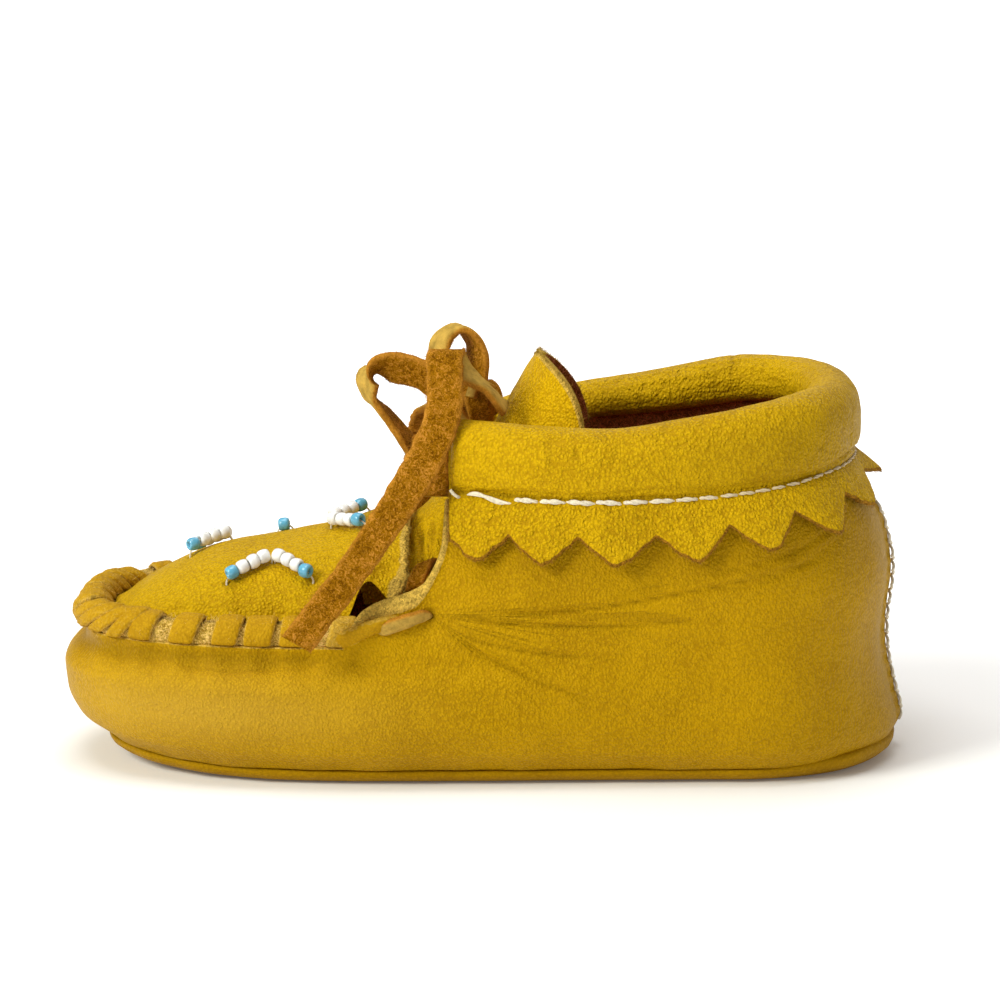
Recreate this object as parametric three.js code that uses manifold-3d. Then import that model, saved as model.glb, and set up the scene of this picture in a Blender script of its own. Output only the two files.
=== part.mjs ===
// Beaded baby moccasin in soft mustard leather, standing empty on its sole.
// Millimetres, +Z up, toe towards -X, heel towards +X, near side towards -Y.
// The origin is on the floor under the middle of the shoe.

import * as THREE from "three";
import { mergeVertices } from "three/addons/utils/BufferGeometryUtils.js";
import Module from "manifold-3d";

const wasm = await Module();
wasm.setup();

// Hide and gaps
const HIDE = 1.4;
const GAP = 0.3;

// Plan outline of the upper's outer face at each height.
// toe and heel are the x of the two ends, ball and seat are half widths, blunt is how square the toe is.
const BALL_X = -14;
const SEAT_X = 36;
const HEEL_ROUND = 2.2;
const LEVELS = [
  { z: 2.4, toe: -56.6, heel: 61.3, ball: 23.2, seat: 22.2, blunt: 2.4 },
  { z: 5.6, toe: -60.9, heel: 62.6, ball: 25.8, seat: 24.3, blunt: 2.5 },
  { z: 10.0, toe: -62.4, heel: 61.6, ball: 27.0, seat: 25.0, blunt: 2.6 },
  { z: 15.0, toe: -62.6, heel: 60.5, ball: 26.8, seat: 25.0, blunt: 2.8 },
  { z: 19.2, toe: -61.3, heel: 60.2, ball: 25.2, seat: 24.8, blunt: 2.9 },
  { z: 28.0, toe: -61.3, heel: 61.0, ball: 25.0, seat: 24.8, blunt: 2.9 },
  { z: 36.0, toe: -61.3, heel: 59.3, ball: 24.4, seat: 24.0, blunt: 2.9 },
  { z: 46.0, toe: -61.3, heel: 54.3, ball: 23.6, seat: 22.4, blunt: 2.9 },
];

// The quarters lean in towards each other beside the throat
const LEAN = { share: 0.36, fromZ: 20, toZ: 46, frontX: -12, rearX: 18 };

// Below the toe seam the wall tucks in under the wrapped ridge
const TUCK = { depth: 1.5, fromZ: 14.5, fullUntil: 0.37, goneFrom: 0.45 };

// Columns of the wall and the cuff stand upright beside the throat and follow the outline elsewhere
const UPRIGHT = { fromX: -22, fullX: -12, untilX: 14, goneX: 44 };

// Back seam: a low ridge up the heel
const BACK_SEAM = { rise: 0.8, halfWidth: 1.8, topZ: 40 };

// Upper edge of the wall beside the throat, from the end of the toe seam up to the collar
const TOE_EDGE_Z = 19.2;
const THROAT = [
  { x: -20.1, z: 19.2 },
  { x: -18.9, z: 23.4 },
  { x: -17.7, z: 26.0 },
  { x: -14.8, z: 27.6 },
  { x: -8.6, z: 29.8 },
  { x: -7.0, z: 32.0 },
  { x: -5.8, z: 35.2 },
  { x: -5.5, z: 38.2 },
  { x: -5.3, z: 41.4 },
];

// Toe spring: how far the toe end of the sole lifts off the floor
const SPRING = { fromX: -28, toX: -57, rise: 1.5 };

// Outsole and insole, as offsets in from the lowest outline of the upper
const SOLE_STEPS = [
  { z: 0.0, inset: 3.4 },
  { z: 0.5, inset: 1.4 },
  { z: 1.3, inset: 0.3 },
  { z: 2.1, inset: 0.1 },
];
const INSOLE = { bottom: 2.4, top: 3.5, inset: 3.4 };

// Toe seam: centre line of the wrapped ridge and its section
const SEAM = { toe: -58.4, half: 21.2, blunt: 2.9, z: 22.2, endX: -20.9 };
const RIDGE = { core: 2.35, wrap: 2.85, wraps: 20, perWrap: 4, sides: 8, slant: 0.35 };
const TAIL = { width: 3.2, thick: 1.2, steps: 6, sunk: 3, fromX: -22.4, fromZ: 22.6, toX: -7.9, toZ: 26.4 };

// Plug: crest height along its length, and its side edges
const PLUG = { toe: -55.3, rear: -11, half: 18.1, blunt: 2.9, edgeZ: 22.4, fullness: 0.65 };
const PLUG_REAR = { fromX: -21, half: 19.2, edgeZ: 26.2 };
const CREST = [
  { x: -55.3, z: 22.4 },
  { x: -52.0, z: 25.0 },
  { x: -46.6, z: 28.3 },
  { x: -42.0, z: 30.4 },
  { x: -37.3, z: 31.7 },
  { x: -32.6, z: 32.5 },
  { x: -23.3, z: 34.2 },
  { x: -11.0, z: 37.4 },
];

// Tongue: its centre line from under the plug up to the tip, and how far it curls round the ankle
const TONGUE_LINE = [
  { x: -19.5, z: 32.9 },
  { x: -11.0, z: 35.4 },
  { x: -5.8, z: 40.0 },
  { x: 2.0, z: 50.2 },
  { x: 9.2, z: 60.8 },
];
const TONGUE = { radius: 14.6, baseCurl: 64, topCurl: 86, sideDrop: 0.14, thick: 1.4 };

// Collar: height of the roll's lower and upper lines along the shoe
const COLLAR_LINES = [
  { x: -4.6, low: 42.0, high: 53.2 },
  { x: 8.0, low: 42.2, high: 52.9 },
  { x: 19.0, low: 42.3, high: 52.8 },
  { x: 30.0, low: 42.7, high: 54.4 },
  { x: 42.0, low: 44.0, high: 56.6 },
  { x: 50.0, low: 45.2, high: 57.6 },
  { x: 55.0, low: 45.6, high: 57.8 },
];
const COLLAR = { pathZ: 46, inset: 2.1, thick: 4.3, frontX: -4.6, stations: 44, sides: 12 };

// Pinked cuff below the roll
const CUFF = { teeth: 14.5, perTooth: 4, start: 0.33, thick: 1.2, topZ: 2.2, flare: 0.5, heelFlare: 1.8 };
const CUFF_LINES = [
  { x: -4.6, notch: 37.3, tip: 33.6 },
  { x: 22.0, notch: 37.8, tip: 33.5 },
  { x: 40.0, notch: 40.4, tip: 36.2 },
  { x: 52.0, notch: 42.6, tip: 39.4 },
  { x: 54.3, notch: 43.6, tip: 42.6 },
];

// Beads on the plug: each chevron opens outward from its point at its own angle, its arms a little apart
const BEAD = { radius: 1.05, neck: 0.6, pitch: 1.75, sides: 8, whites: 3, standoff: 0.3 };
const CENTRE_BEAD = { x: -29.8, y: 3.6 };
const CHEVRONS = [
  { name: "near", x: -30.9, y: -9.1, bearing: -97, spread: 59, apart: 0.5 },
  { name: "front", x: -37.4, y: 4.8, bearing: 180, spread: 38, apart: 1.0 },
  { name: "far", x: -30.9, y: 13.0, bearing: 90, spread: 78, apart: 0.5 },
  { name: "rear", x: -23.2, y: -0.8, bearing: 0, spread: 42, apart: 1.0 },
];

// Tie lace, a flat thong. Each row of a run is a place and the way that the width lies there.
const LACE = { width: 5.0, thick: 1.3, steps: 18 };
const KNOT = { x: -1.2, y: -4.6, z: 54.0, radiusX: 3.9, radiusY: 3.6, radiusZ: 3.5 };
const LACE_RUNS = {
  lace_tie: [
    [-7.4, -15.4, 41.8, 0.93, 0.1, 0.3],
    [-7.3, -14.2, 45.4, 0.88, 0.1, 0.4],
    [-6.4, -10.0, 47.8, 0.6, 0.1, 0.75],
    [-4.4, -4.0, 48.4, 0.5, 0.04, 0.8],
    [-4.2, 1.6, 48.2, 0.5, -0.04, 0.8],
    [-5.8, 7.2, 47.2, 0.5, -0.12, 0.8],
    [-6.3, 12.0, 44.4, 0.5, -0.2, 0.8],
  ],
  lace_end_near: [
    [3.4, -9.7, 53.8, 0.1, 0.95, 0.05],
    [0.3, -10.2, 57.2, 0.05, 0.97, 0.0],
    [-2.9, -10.2, 59.6, 0.6, 0.8, 0.1],
    [-4.7, -10.6, 61.5, 1.0, 0.1, 0.0],
    [-5.1, -11.7, 62.4, 1.0, 0.0, 0.0],
    [-5.4, -13.3, 61.6, 1.0, 0.0, 0.0],
    [-5.4, -14.9, 59.2, 1.0, 0.0, 0.0],
    [-5.5, -17.2, 54.8, 0.97, 0.0, -0.05],
    [-7.1, -19.1, 50.2, 0.93, 0.0, -0.2],
    [-10.2, -20.8, 44.8, 0.9, 0.0, -0.28],
    [-14.0, -22.7, 39.2, 0.88, 0.0, -0.33],
    [-19.6, -26.0, 31.4, 0.85, 0.0, -0.4],
    [-23.8, -28.1, 26.4, 0.83, 0.0, -0.48],
    [-26.6, -29.1, 22.8, 0.82, 0.0, -0.55],
  ],
  lace_loop_left: [
    [-6.0, -3.2, 51.8, 0.35, 0.9, -0.1],
    [-7.5, -2.7, 48.6, 0.3, 0.9, -0.2],
    [-8.4, -2.3, 46.4, -0.15, -0.1, -0.95],
    [-10.0, -1.8, 46.2, -0.4, -0.8, -0.35],
    [-12.0, -1.2, 48.5, -0.4, -0.84, -0.33],
    [-14.5, -0.8, 51.6, -0.35, -0.9, -0.12],
    [-16.8, -0.4, 54.2, 0.4, -0.9, 0.0],
    [-17.0, -0.5, 57.0, 0.55, -0.75, 0.25],
    [-15.2, -1.0, 58.4, 0.3, -0.6, 0.7],
    [-12.4, -1.5, 58.5, 0.1, -0.4, 0.9],
    [-9.0, -2.4, 57.7, 0.05, -0.4, 0.9],
    [-5.8, -3.2, 55.8, 0.0, -0.35, 0.93],
  ],
  lace_loop_top: [
    [-0.6, -2.4, 58.2, -0.5, 0.85, 0.0],
    [-0.6, -1.8, 60.4, -0.5, 0.85, 0.0],
    [-1.5, -1.2, 62.9, -0.45, 0.88, 0.0],
    [-3.5, -1.0, 64.3, -0.4, 0.9, 0.0],
    [-5.8, -1.6, 63.1, -0.45, 0.88, 0.0],
    [-6.2, -2.6, 60.8, -0.5, 0.85, 0.0],
    [-4.4, -3.4, 58.6, -0.5, 0.85, 0.0],
  ],
  lace_end_far: [
    [-3.0, 0.4, 52.4, 0.8, 0.1, 0.4],
    [-6.0, 5.6, 51.9, 0.81, 0.08, 0.3],
    [-7.9, 11.0, 49.9, 0.82, 0.06, 0.2],
    [-9.0, 16.6, 45.6, 0.83, 0.05, 0.1],
    [-9.6, 21.6, 39.2, 0.84, 0.04, -0.05],
    [-10.8, 25.6, 31.8, 0.84, 0.02, -0.2],
    [-12.2, 28.2, 22.4, 0.85, 0.0, -0.3],
  ],
};

// Colours
const COLOURS = {
  leather: 0xb88e14,
  plug: 0xd1ac27,
  cuff: 0xc49a20,
  sole: 0x9a6a0c,
  insole: 0x72441a,
  suede: 0xa4660f,
  white: 0xf2f0ea,
  blue: 0x6fb6d2,
};

// Share of the way from a to b, eased at both ends
function ease(value, a, b) {
  return THREE.MathUtils.smoothstep(value, a, b);
}

// Value of one column of a table at a place along another column, without overshoot between the rows
function along(table, key, at, column) {
  const last = table.length - 1;
  if (at <= table[0][key]) {
    return table[0][column];
  }
  if (at >= table[last][key]) {
    return table[last][column];
  }
  const slope = (i) => (table[i + 1][column] - table[i][column]) / (table[i + 1][key] - table[i][key]);
  const lean = (i) => {
    if (i === 0) {
      return slope(0);
    }
    if (i === last) {
      return slope(last - 1);
    }
    const before = slope(i - 1);
    const after = slope(i);
    return before * after <= 0 ? 0 : (2 * before * after) / (before + after);
  };
  const i = table.findIndex((row, k) => k < last && at < table[k + 1][key]);
  const step = table[i + 1][key] - table[i][key];
  const t = (at - table[i][key]) / step;
  const rise = table[i + 1][column] - table[i][column];
  const startLean = lean(i) * step;
  const endLean = lean(i + 1) * step;
  const bend = t * t * (3 * rise - 2 * startLean - endLean) + t * t * t * (startLean + endLean - 2 * rise);
  return table[i][column] + startLean * t + bend;
}

// Half width of a rounded end: 1 where it starts, 0 at its tip
function cap(share, power) {
  return Math.pow(Math.max(0, 1 - Math.pow(Math.min(1, Math.max(0, share)), power)), 1 / power);
}

// Half width of a plan outline at x
function halfWidth(row, x) {
  if (x < BALL_X) {
    return row.ball * cap((BALL_X - x) / (BALL_X - row.toe), row.blunt);
  }
  if (x > SEAT_X) {
    return row.seat * cap((x - SEAT_X) / (row.heel - SEAT_X), HEEL_ROUND);
  }
  return row.ball + (row.seat - row.ball) * ease(x, BALL_X, SEAT_X);
}

// Lift of the sole at x
function toeLift(x) {
  const share = Math.max(0, (SPRING.fromX - x) / (SPRING.fromX - SPRING.toX));
  return SPRING.rise * Math.min(1.2, share * share);
}

// Outline of the upper at a height, read from the level table
function levelAt(z) {
  const row = {};
  for (const column of ["toe", "heel", "ball", "seat", "blunt"]) {
    row[column] = along(LEVELS, "z", z, column);
  }
  return row;
}

// Point on the upper's outer face. turn runs 0 at the toe, 1 at the heel by the near side, 2 at the toe.
function wallPoint(turn, z) {
  const row = levelAt(z);
  const way = turn <= 1 ? turn : 2 - turn;
  const side = turn <= 1 ? -1 : 1;
  const tuck = TUCK.depth * ease(z, TUCK.fromZ, TOE_EDGE_Z) * (1 - ease(way, TUCK.fullUntil, TUCK.goneFrom));
  row.toe += tuck;
  row.ball -= tuck;
  const x = row.toe + (row.heel - row.toe) * (1 - Math.cos(Math.PI * way)) / 2;
  const lean = ease(z, LEAN.fromZ, LEAN.toZ) * (1 - ease(x, LEAN.frontX, LEAN.rearX));
  const y = side * halfWidth(row, x) * (1 - LEAN.share * lean);
  const nearSeam = way > 0.8 ? Math.exp(-Math.pow(y / BACK_SEAM.halfWidth, 2)) : 0;
  const fade = 1 - ease(z, BACK_SEAM.topZ - 4, BACK_SEAM.topZ);
  const lift = toeLift(x) * (1 - ease(z, LEVELS[0].z, TOE_EDGE_Z));
  return new THREE.Vector3(x + BACK_SEAM.rise * nearSeam * fade, y, z + lift);
}

// Outward direction of the upper's outer face
function wallNormal(turn, z) {
  const step = 0.004;
  const ahead = wallPoint((turn + step) % 2, z);
  const behind = wallPoint((turn - step + 2) % 2, z);
  const above = wallPoint(turn, z + 0.4);
  const below = wallPoint(turn, z - 0.4);
  return ahead.sub(behind).cross(above.sub(below)).normalize();
}

// Turn on the near side whose wall stands at x
function turnAt(x, z) {
  const row = levelAt(z);
  const share = THREE.MathUtils.clamp((x - row.toe) / (row.heel - row.toe), 0, 1);
  return Math.acos(1 - 2 * share) / Math.PI;
}

// Turn that keeps a column of the wall upright beside the throat, where the outline changes with height
function uprightTurn(turn, x, z) {
  const way = turn <= 1 ? turn : 2 - turn;
  const share = ease(x, UPRIGHT.fromX, UPRIGHT.fullX) * (1 - ease(x, UPRIGHT.untilX, UPRIGHT.goneX));
  const kept = way + (turnAt(x, z) - way) * share;
  return turn <= 1 ? kept : 2 - kept;
}

// Height of the collar roll's lower line at x
function collarLow(x) {
  return along(COLLAR_LINES, "x", x, "low");
}

// Height of the wall's upper edge at x
function wallTop(x) {
  const frontOfCollar = THROAT[THROAT.length - 1].x;
  if (x < THROAT[0].x) {
    return TOE_EDGE_Z;
  }
  return x < frontOfCollar ? along(THROAT, "x", x, "z") : collarLow(x) - GAP - 0.3;
}

// Closed solid through a row of section loops. Each loop has an even count of points, and an open row is
// closed at both ends by strips across the loop.
function loft(loops, ring) {
  const size = loops[0].length;
  const points = loops.flat();
  const triangles = [];
  const quad = (a, b, c, d) => triangles.push(a, b, c, a, c, d);
  const spans = ring ? loops.length : loops.length - 1;
  for (let i = 0; i < spans; i += 1) {
    const here = i * size;
    const next = ((i + 1) % loops.length) * size;
    for (let j = 0; j < size; j += 1) {
      const k = (j + 1) % size;
      quad(here + j, here + k, next + k, next + j);
    }
  }
  if (!ring) {
    const end = (loops.length - 1) * size;
    for (let j = 0; j < size / 2 - 1; j += 1) {
      quad(j, size - 1 - j, size - 2 - j, j + 1);
      quad(end + j, end + j + 1, end + size - 2 - j, end + size - 1 - j);
    }
  }
  const geometry = new THREE.BufferGeometry();
  geometry.setAttribute("position", new THREE.Float32BufferAttribute(points.flatMap((p) => p.toArray()), 3));
  geometry.setIndex(signedVolume(points, triangles) < 0 ? triangles.reverse() : triangles);
  return geometry;
}

// Volume inside a set of triangles, negative when they face inward
function signedVolume(points, triangles) {
  let volume = 0;
  for (let i = 0; i < triangles.length; i += 3) {
    const [a, b, c] = [points[triangles[i]], points[triangles[i + 1]], points[triangles[i + 2]]];
    volume += a.dot(b.clone().cross(c)) / 6;
  }
  return volume;
}

// Two or more solids that overlap, joined into one
function join(geometries) {
  const solids = geometries.map((geometry) => new wasm.Manifold(new wasm.Mesh({
    numProp: 3,
    vertProperties: new Float32Array(geometry.getAttribute("position").array),
    triVerts: new Uint32Array(geometry.getIndex().array),
  })));
  const mesh = solids.reduce((whole, solid) => whole.add(solid)).getMesh();
  const geometry = new THREE.BufferGeometry();
  const corners = Array.from(mesh.vertProperties).filter((value, i) => i % mesh.numProp < 3);
  geometry.setAttribute("position", new THREE.Float32BufferAttribute(corners, 3));
  geometry.setIndex(Array.from(mesh.triVerts));
  return mergeVertices(geometry, 0.0005);
}

const moccasin = new THREE.Group();
moccasin.name = "beaded_moccasin";

function addPiece(name, geometry, colour, roughness) {
  const material = new THREE.MeshStandardMaterial({ color: colour, roughness });
  const mesh = new THREE.Mesh(geometry, material);
  mesh.name = name;
  moccasin.add(mesh);
}

// Flat outline a little inside the upper's lowest edge, near side first and the far side back again
function soleLoop(inset, z) {
  const row = LEVELS[0];
  const smaller = { ...row, toe: row.toe + inset, heel: row.heel - inset };
  smaller.ball = row.ball - inset;
  smaller.seat = row.seat - inset;
  const count = 30;
  const near = [];
  for (let i = 0; i < count; i += 1) {
    const way = (i + 0.5) / count;
    const x = smaller.toe + (smaller.heel - smaller.toe) * (1 - Math.cos(Math.PI * way)) / 2;
    near.push(new THREE.Vector3(x, -halfWidth(smaller, x), z + toeLift(x)));
  }
  const far = near.map((p) => new THREE.Vector3(p.x, -p.y, p.z)).reverse();
  return [...near, ...far];
}

function outsole() {
  return loft(SOLE_STEPS.map((step) => soleLoop(step.inset, step.z)), false);
}

function insole() {
  return loft([soleLoop(INSOLE.inset, INSOLE.bottom), soleLoop(INSOLE.inset - 0.4, INSOLE.top)], false);
}

// Places round the upper: even round the toe and heel, closer at the throat's edge and at the back seam
function wallTurns() {
  const even = 31;
  const near = [];
  for (let i = 0; i <= even; i += 1) {
    near.push(i / even);
  }
  for (const row of THROAT) {
    near.push(turnAt(row.x, TOE_EDGE_Z));
  }
  near.push(turnAt(COLLAR.frontX + 0.1, TOE_EDGE_Z), 0.987, 0.9945);
  const sorted = near.sort((a, b) => a - b).filter((turn, i, all) => i === 0 || turn - all[i - 1] > 0.0015);
  const far = sorted.slice(1, -1).map((turn) => 2 - turn).reverse();
  return [...sorted, ...far];
}

function upper() {
  const rows = 8;
  const lowest = LEVELS[0].z;
  const loops = wallTurns().map((turn) => {
    const place = wallPoint(turn, TOE_EDGE_Z).x;
    const top = wallTop(place);
    const outer = [];
    const inner = [];
    for (let j = 0; j <= rows; j += 1) {
      const z = lowest + (top - lowest) * j / rows;
      const upright = uprightTurn(turn, place, z);
      const point = wallPoint(upright, z);
      outer.push(point);
      inner.push(point.clone().addScaledVector(wallNormal(upright, z), -HIDE));
    }
    return [...outer, ...inner.reverse()];
  });
  return loft(loops, true);
}

// Crest height, half width and edge height of the plug at x
function plugSection(x) {
  const rear = ease(x, PLUG_REAR.fromX, PLUG.rear);
  const round = cap((BALL_X - x) / (BALL_X - PLUG.toe), PLUG.blunt);
  return {
    crest: along(CREST, "x", x, "z"),
    half: (PLUG.half + (PLUG_REAR.half - PLUG.half) * rear) * (x < BALL_X ? round : 1),
    edge: PLUG.edgeZ + (PLUG_REAR.edgeZ - PLUG.edgeZ) * rear,
  };
}

// Point on the plug's outer face, share running -1 at the near edge to 1 at the far edge
function plugPoint(x, share, sunk) {
  const section = plugSection(x);
  const height = Math.max(0, section.crest - section.edge - sunk);
  const dome = Math.pow(Math.max(0, 1 - share * share), PLUG.fullness);
  return new THREE.Vector3(x, share * Math.max(0.4, section.half - sunk), section.edge + height * dome);
}

function plug() {
  const stations = 20;
  const across = 12;
  const loops = [];
  for (let i = 0; i < stations; i += 1) {
    const way = 1 - Math.cos(Math.PI / 2 * (i + 0.25) / (stations - 0.75));
    const outerX = PLUG.toe + (PLUG.rear - PLUG.toe) * way;
    const innerX = outerX + HIDE * (1 - way);
    const outer = [];
    const inner = [];
    for (let j = 0; j <= across; j += 1) {
      const share = Math.sin(Math.PI * (j / across - 0.5));
      outer.push(plugPoint(outerX, share, 0));
      inner.push(plugPoint(innerX, share * 0.98, HIDE).setX(innerX));
    }
    loops.push([...outer, ...inner.reverse()]);
  }
  return loft(loops, false);
}

// Centre line of the toe seam; way runs 0 at the near end, 0.5 at the toe, 1 at the far end
function seamPoint(way) {
  const half = Math.abs(way - 0.5) * 2;
  const side = way < 0.5 ? -1 : 1;
  const x = SEAM.toe + (SEAM.endX - SEAM.toe) * (1 - Math.cos(Math.PI / 2 * half));
  const y = side * SEAM.half * cap((BALL_X - x) / (BALL_X - SEAM.toe), SEAM.blunt);
  return new THREE.Vector3(x, y, SEAM.z);
}

function ridge() {
  const up = new THREE.Vector3(0, 0, 1);
  const count = RIDGE.wraps * RIDGE.perWrap;
  const fine = 400;
  const lengths = [0];
  for (let i = 1; i <= fine; i += 1) {
    lengths.push(lengths[i - 1] + seamPoint(i / fine).distanceTo(seamPoint((i - 1) / fine)));
  }
  const wayAt = (share) => {
    const wanted = share * lengths[fine];
    const i = Math.min(fine - 1, Math.max(0, lengths.findIndex((length) => length > wanted) - 1));
    return share >= 1 ? 1 : (i + (wanted - lengths[i]) / (lengths[i + 1] - lengths[i])) / fine;
  };
  const loops = [];
  for (let i = 0; i <= count; i += 1) {
    const way = wayAt(i / count);
    const centre = seamPoint(way);
    const heading = seamPoint(Math.min(1, way + 0.004)).sub(seamPoint(Math.max(0, way - 0.004))).normalize();
    const outward = heading.clone().cross(up).normalize();
    const loop = [];
    for (let j = 0; j < RIDGE.sides; j += 1) {
      const angle = 2 * Math.PI * (j + 0.5) / RIDGE.sides;
      const beat = Math.cos(2 * Math.PI * (i / RIDGE.perWrap + RIDGE.slant * Math.sin(angle) - 0.5));
      const radius = RIDGE.core + (RIDGE.wrap - RIDGE.core) * ease(beat, -0.5, 0.4);
      loop.push(centre.clone()
        .addScaledVector(outward, radius * Math.cos(angle))
        .addScaledVector(up, radius * Math.sin(angle)));
    }
    loops.push(loop);
  }
  return loft(loops, false);
}

// Flat tail of the toe lace, lying on the wall from the end of the seam back to its hole
function seamTail(side) {
  const loops = [];
  for (let i = 0; i <= TAIL.steps; i += 1) {
    const share = i / TAIL.steps;
    const x = TAIL.fromX + (TAIL.toX - TAIL.fromX) * share;
    const z = TAIL.fromZ + (TAIL.toZ - TAIL.fromZ) * share;
    const nearTurn = turnAt(x, z);
    const turn = side < 0 ? nearTurn : 2 - nearTurn;
    const half = TAIL.width / 2;
    const sunk = i === 0 ? TAIL.sunk : 0;
    const [low, high] = [z - half, z + half].map((height) => {
      const normal = wallNormal(turn, height);
      const face = wallPoint(turn, height).addScaledVector(normal, GAP - sunk);
      return [face, face.clone().addScaledVector(normal, TAIL.thick)];
    });
    loops.push([low[0], low[1], high[1], high[0]]);
  }
  return loft(loops, false);
}

function toeLacing() {
  return join([ridge(), seamTail(-1), seamTail(1)]);
}

// Point of the tongue: way runs 0 under the plug to 1 at the tip, curl is the angle round the ankle
function tonguePoint(way, curl, sunk) {
  const rows = TONGUE_LINE.map((row, i) => ({ ...row, way: i / (TONGUE_LINE.length - 1) }));
  const centre = (at) => new THREE.Vector3(along(rows, "way", at, "x"), 0, along(rows, "way", at, "z"));
  const heading = centre(Math.min(1, way + 0.02)).sub(centre(Math.max(0, way - 0.02))).normalize();
  const inward = new THREE.Vector3(heading.z, 0, -heading.x);
  const radius = TONGUE.radius - sunk;
  return centre(way)
    .addScaledVector(inward, sunk + radius * (1 - Math.cos(curl)))
    .add(new THREE.Vector3(0, radius * Math.sin(curl), 0));
}

function tongue() {
  const columns = 18;
  const rows = 9;
  const loops = [];
  for (let i = 0; i <= columns; i += 1) {
    const side = 2 * i / columns - 1;
    const outer = [];
    const inner = [];
    for (let j = 0; j <= rows; j += 1) {
      const way = j / rows * (1 - TONGUE.sideDrop * Math.abs(side));
      const degrees = side * (TONGUE.baseCurl + (TONGUE.topCurl - TONGUE.baseCurl) * way);
      const curl = THREE.MathUtils.degToRad(degrees);
      outer.push(tonguePoint(way, curl, 0));
      inner.push(tonguePoint(way, curl, TONGUE.thick));
    }
    loops.push([...outer, ...inner.reverse()]);
  }
  return loft(loops, false);
}

// Turn at a share of the way along the collar, even in length from the near front end to the far one
function collarTurns(count) {
  const start = turnAt(COLLAR.frontX, COLLAR.pathZ);
  const fine = 400;
  const turnOf = (i) => start + (2 - 2 * start) * i / fine;
  const lengths = [0];
  for (let i = 1; i <= fine; i += 1) {
    const step = wallPoint(turnOf(i), COLLAR.pathZ).distanceTo(wallPoint(turnOf(i - 1), COLLAR.pathZ));
    lengths.push(lengths[i - 1] + step);
  }
  const turns = [];
  for (let k = 0; k <= count; k += 1) {
    const wanted = lengths[fine] * k / count;
    const i = Math.max(1, lengths.findIndex((length) => length >= wanted - 1e-9));
    const part = (wanted - lengths[i - 1]) / (lengths[i] - lengths[i - 1]);
    turns.push(turnOf(i - 1 + part));
  }
  return turns;
}

function collarRoll() {
  const loops = collarTurns(COLLAR.stations).map((turn) => {
    const outward = wallNormal(turn, COLLAR.pathZ).setZ(0).normalize();
    const foot = wallPoint(turn, COLLAR.pathZ).addScaledVector(outward, -COLLAR.inset);
    const low = along(COLLAR_LINES, "x", foot.x, "low");
    const high = along(COLLAR_LINES, "x", foot.x, "high");
    const loop = [];
    for (let j = 0; j < COLLAR.sides; j += 1) {
      const angle = 2 * Math.PI * (j + 0.5) / COLLAR.sides;
      const point = foot.clone().addScaledVector(outward, COLLAR.thick * Math.cos(angle));
      loop.push(point.setZ((low + high) / 2 + (high - low) / 2 * Math.sin(angle)));
    }
    return loop;
  });
  return loft(loops, false);
}

function cuff() {
  const count = CUFF.teeth * CUFF.perTooth;
  const loops = collarTurns(count).map((turn, i) => {
    const place = wallPoint(turn, COLLAR.pathZ).x;
    const beat = Math.abs(((i / CUFF.perTooth + CUFF.start) % 1) * 2 - 1);
    const notch = along(CUFF_LINES, "x", place, "notch");
    const tip = along(CUFF_LINES, "x", place, "tip");
    const bottom = tip + (notch - tip) * beat;
    const top = collarLow(place) + CUFF.topZ;
    const heelTooth = 1 - ease(Math.abs(i - count / 2), 0, CUFF.perTooth / 2);
    const flare = GAP + CUFF.flare * (1 - beat) + CUFF.heelFlare * heelTooth;
    const heights = [bottom, (bottom + top) / 2, top];
    const stands = [flare, (flare + GAP) / 2, GAP];
    const face = (extra) => heights.map((z, k) => {
      const upright = uprightTurn(turn, place, z);
      const outward = wallNormal(upright, z).setZ(0).normalize();
      return wallPoint(upright, z).addScaledVector(outward, stands[k] + extra);
    });
    return [...face(CUFF.thick), ...face(0).reverse()];
  });
  return loft(loops, false);
}

function collar() {
  return join([collarRoll(), cuff()]);
}

// Flat thong along the rows of a run
function laceRun(rows) {
  const places = rows.map((row) => new THREE.Vector3(row[0], row[1], row[2]));
  const widths = rows.map((row) => new THREE.Vector3(row[3], row[4], row[5]));
  const curve = new THREE.CatmullRomCurve3(places, false, "centripetal");
  const loops = [];
  for (let i = 0; i <= LACE.steps; i += 1) {
    const share = i / LACE.steps;
    const centre = curve.getPointAt(share);
    const heading = curve.getTangentAt(share);
    const place = curve.getUtoTmapping(share) * (rows.length - 1);
    const k = Math.min(rows.length - 2, Math.floor(place));
    const across = widths[k].clone().lerp(widths[k + 1], place - k);
    const side = across.addScaledVector(heading, -across.dot(heading)).normalize();
    const face = side.clone().cross(heading).normalize();
    const corner = (a, b) => centre.clone()
      .addScaledVector(side, a * LACE.width / 2)
      .addScaledVector(face, b * LACE.thick / 2);
    loops.push([corner(-1, -1), corner(1, -1), corner(1, 1), corner(-1, 1)]);
  }
  return loft(loops, false);
}

function laceKnot() {
  const ball = new THREE.IcosahedronGeometry(1, 1).deleteAttribute("normal").deleteAttribute("uv");
  const knot = mergeVertices(ball);
  knot.scale(KNOT.radiusX, KNOT.radiusY, KNOT.radiusZ);
  knot.translate(KNOT.x, KNOT.y, KNOT.z);
  return knot;
}

// Point of the plug's outer face under a place in plan
function plugUnder(x, y) {
  return plugPoint(x, y / plugSection(x).half, 0);
}

function plugNormal(x, y) {
  const along = plugUnder(x + 0.3, y).sub(plugUnder(x - 0.3, y));
  const across = plugUnder(x, y + 0.3).sub(plugUnder(x, y - 0.3));
  return along.cross(across).normalize();
}

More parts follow.
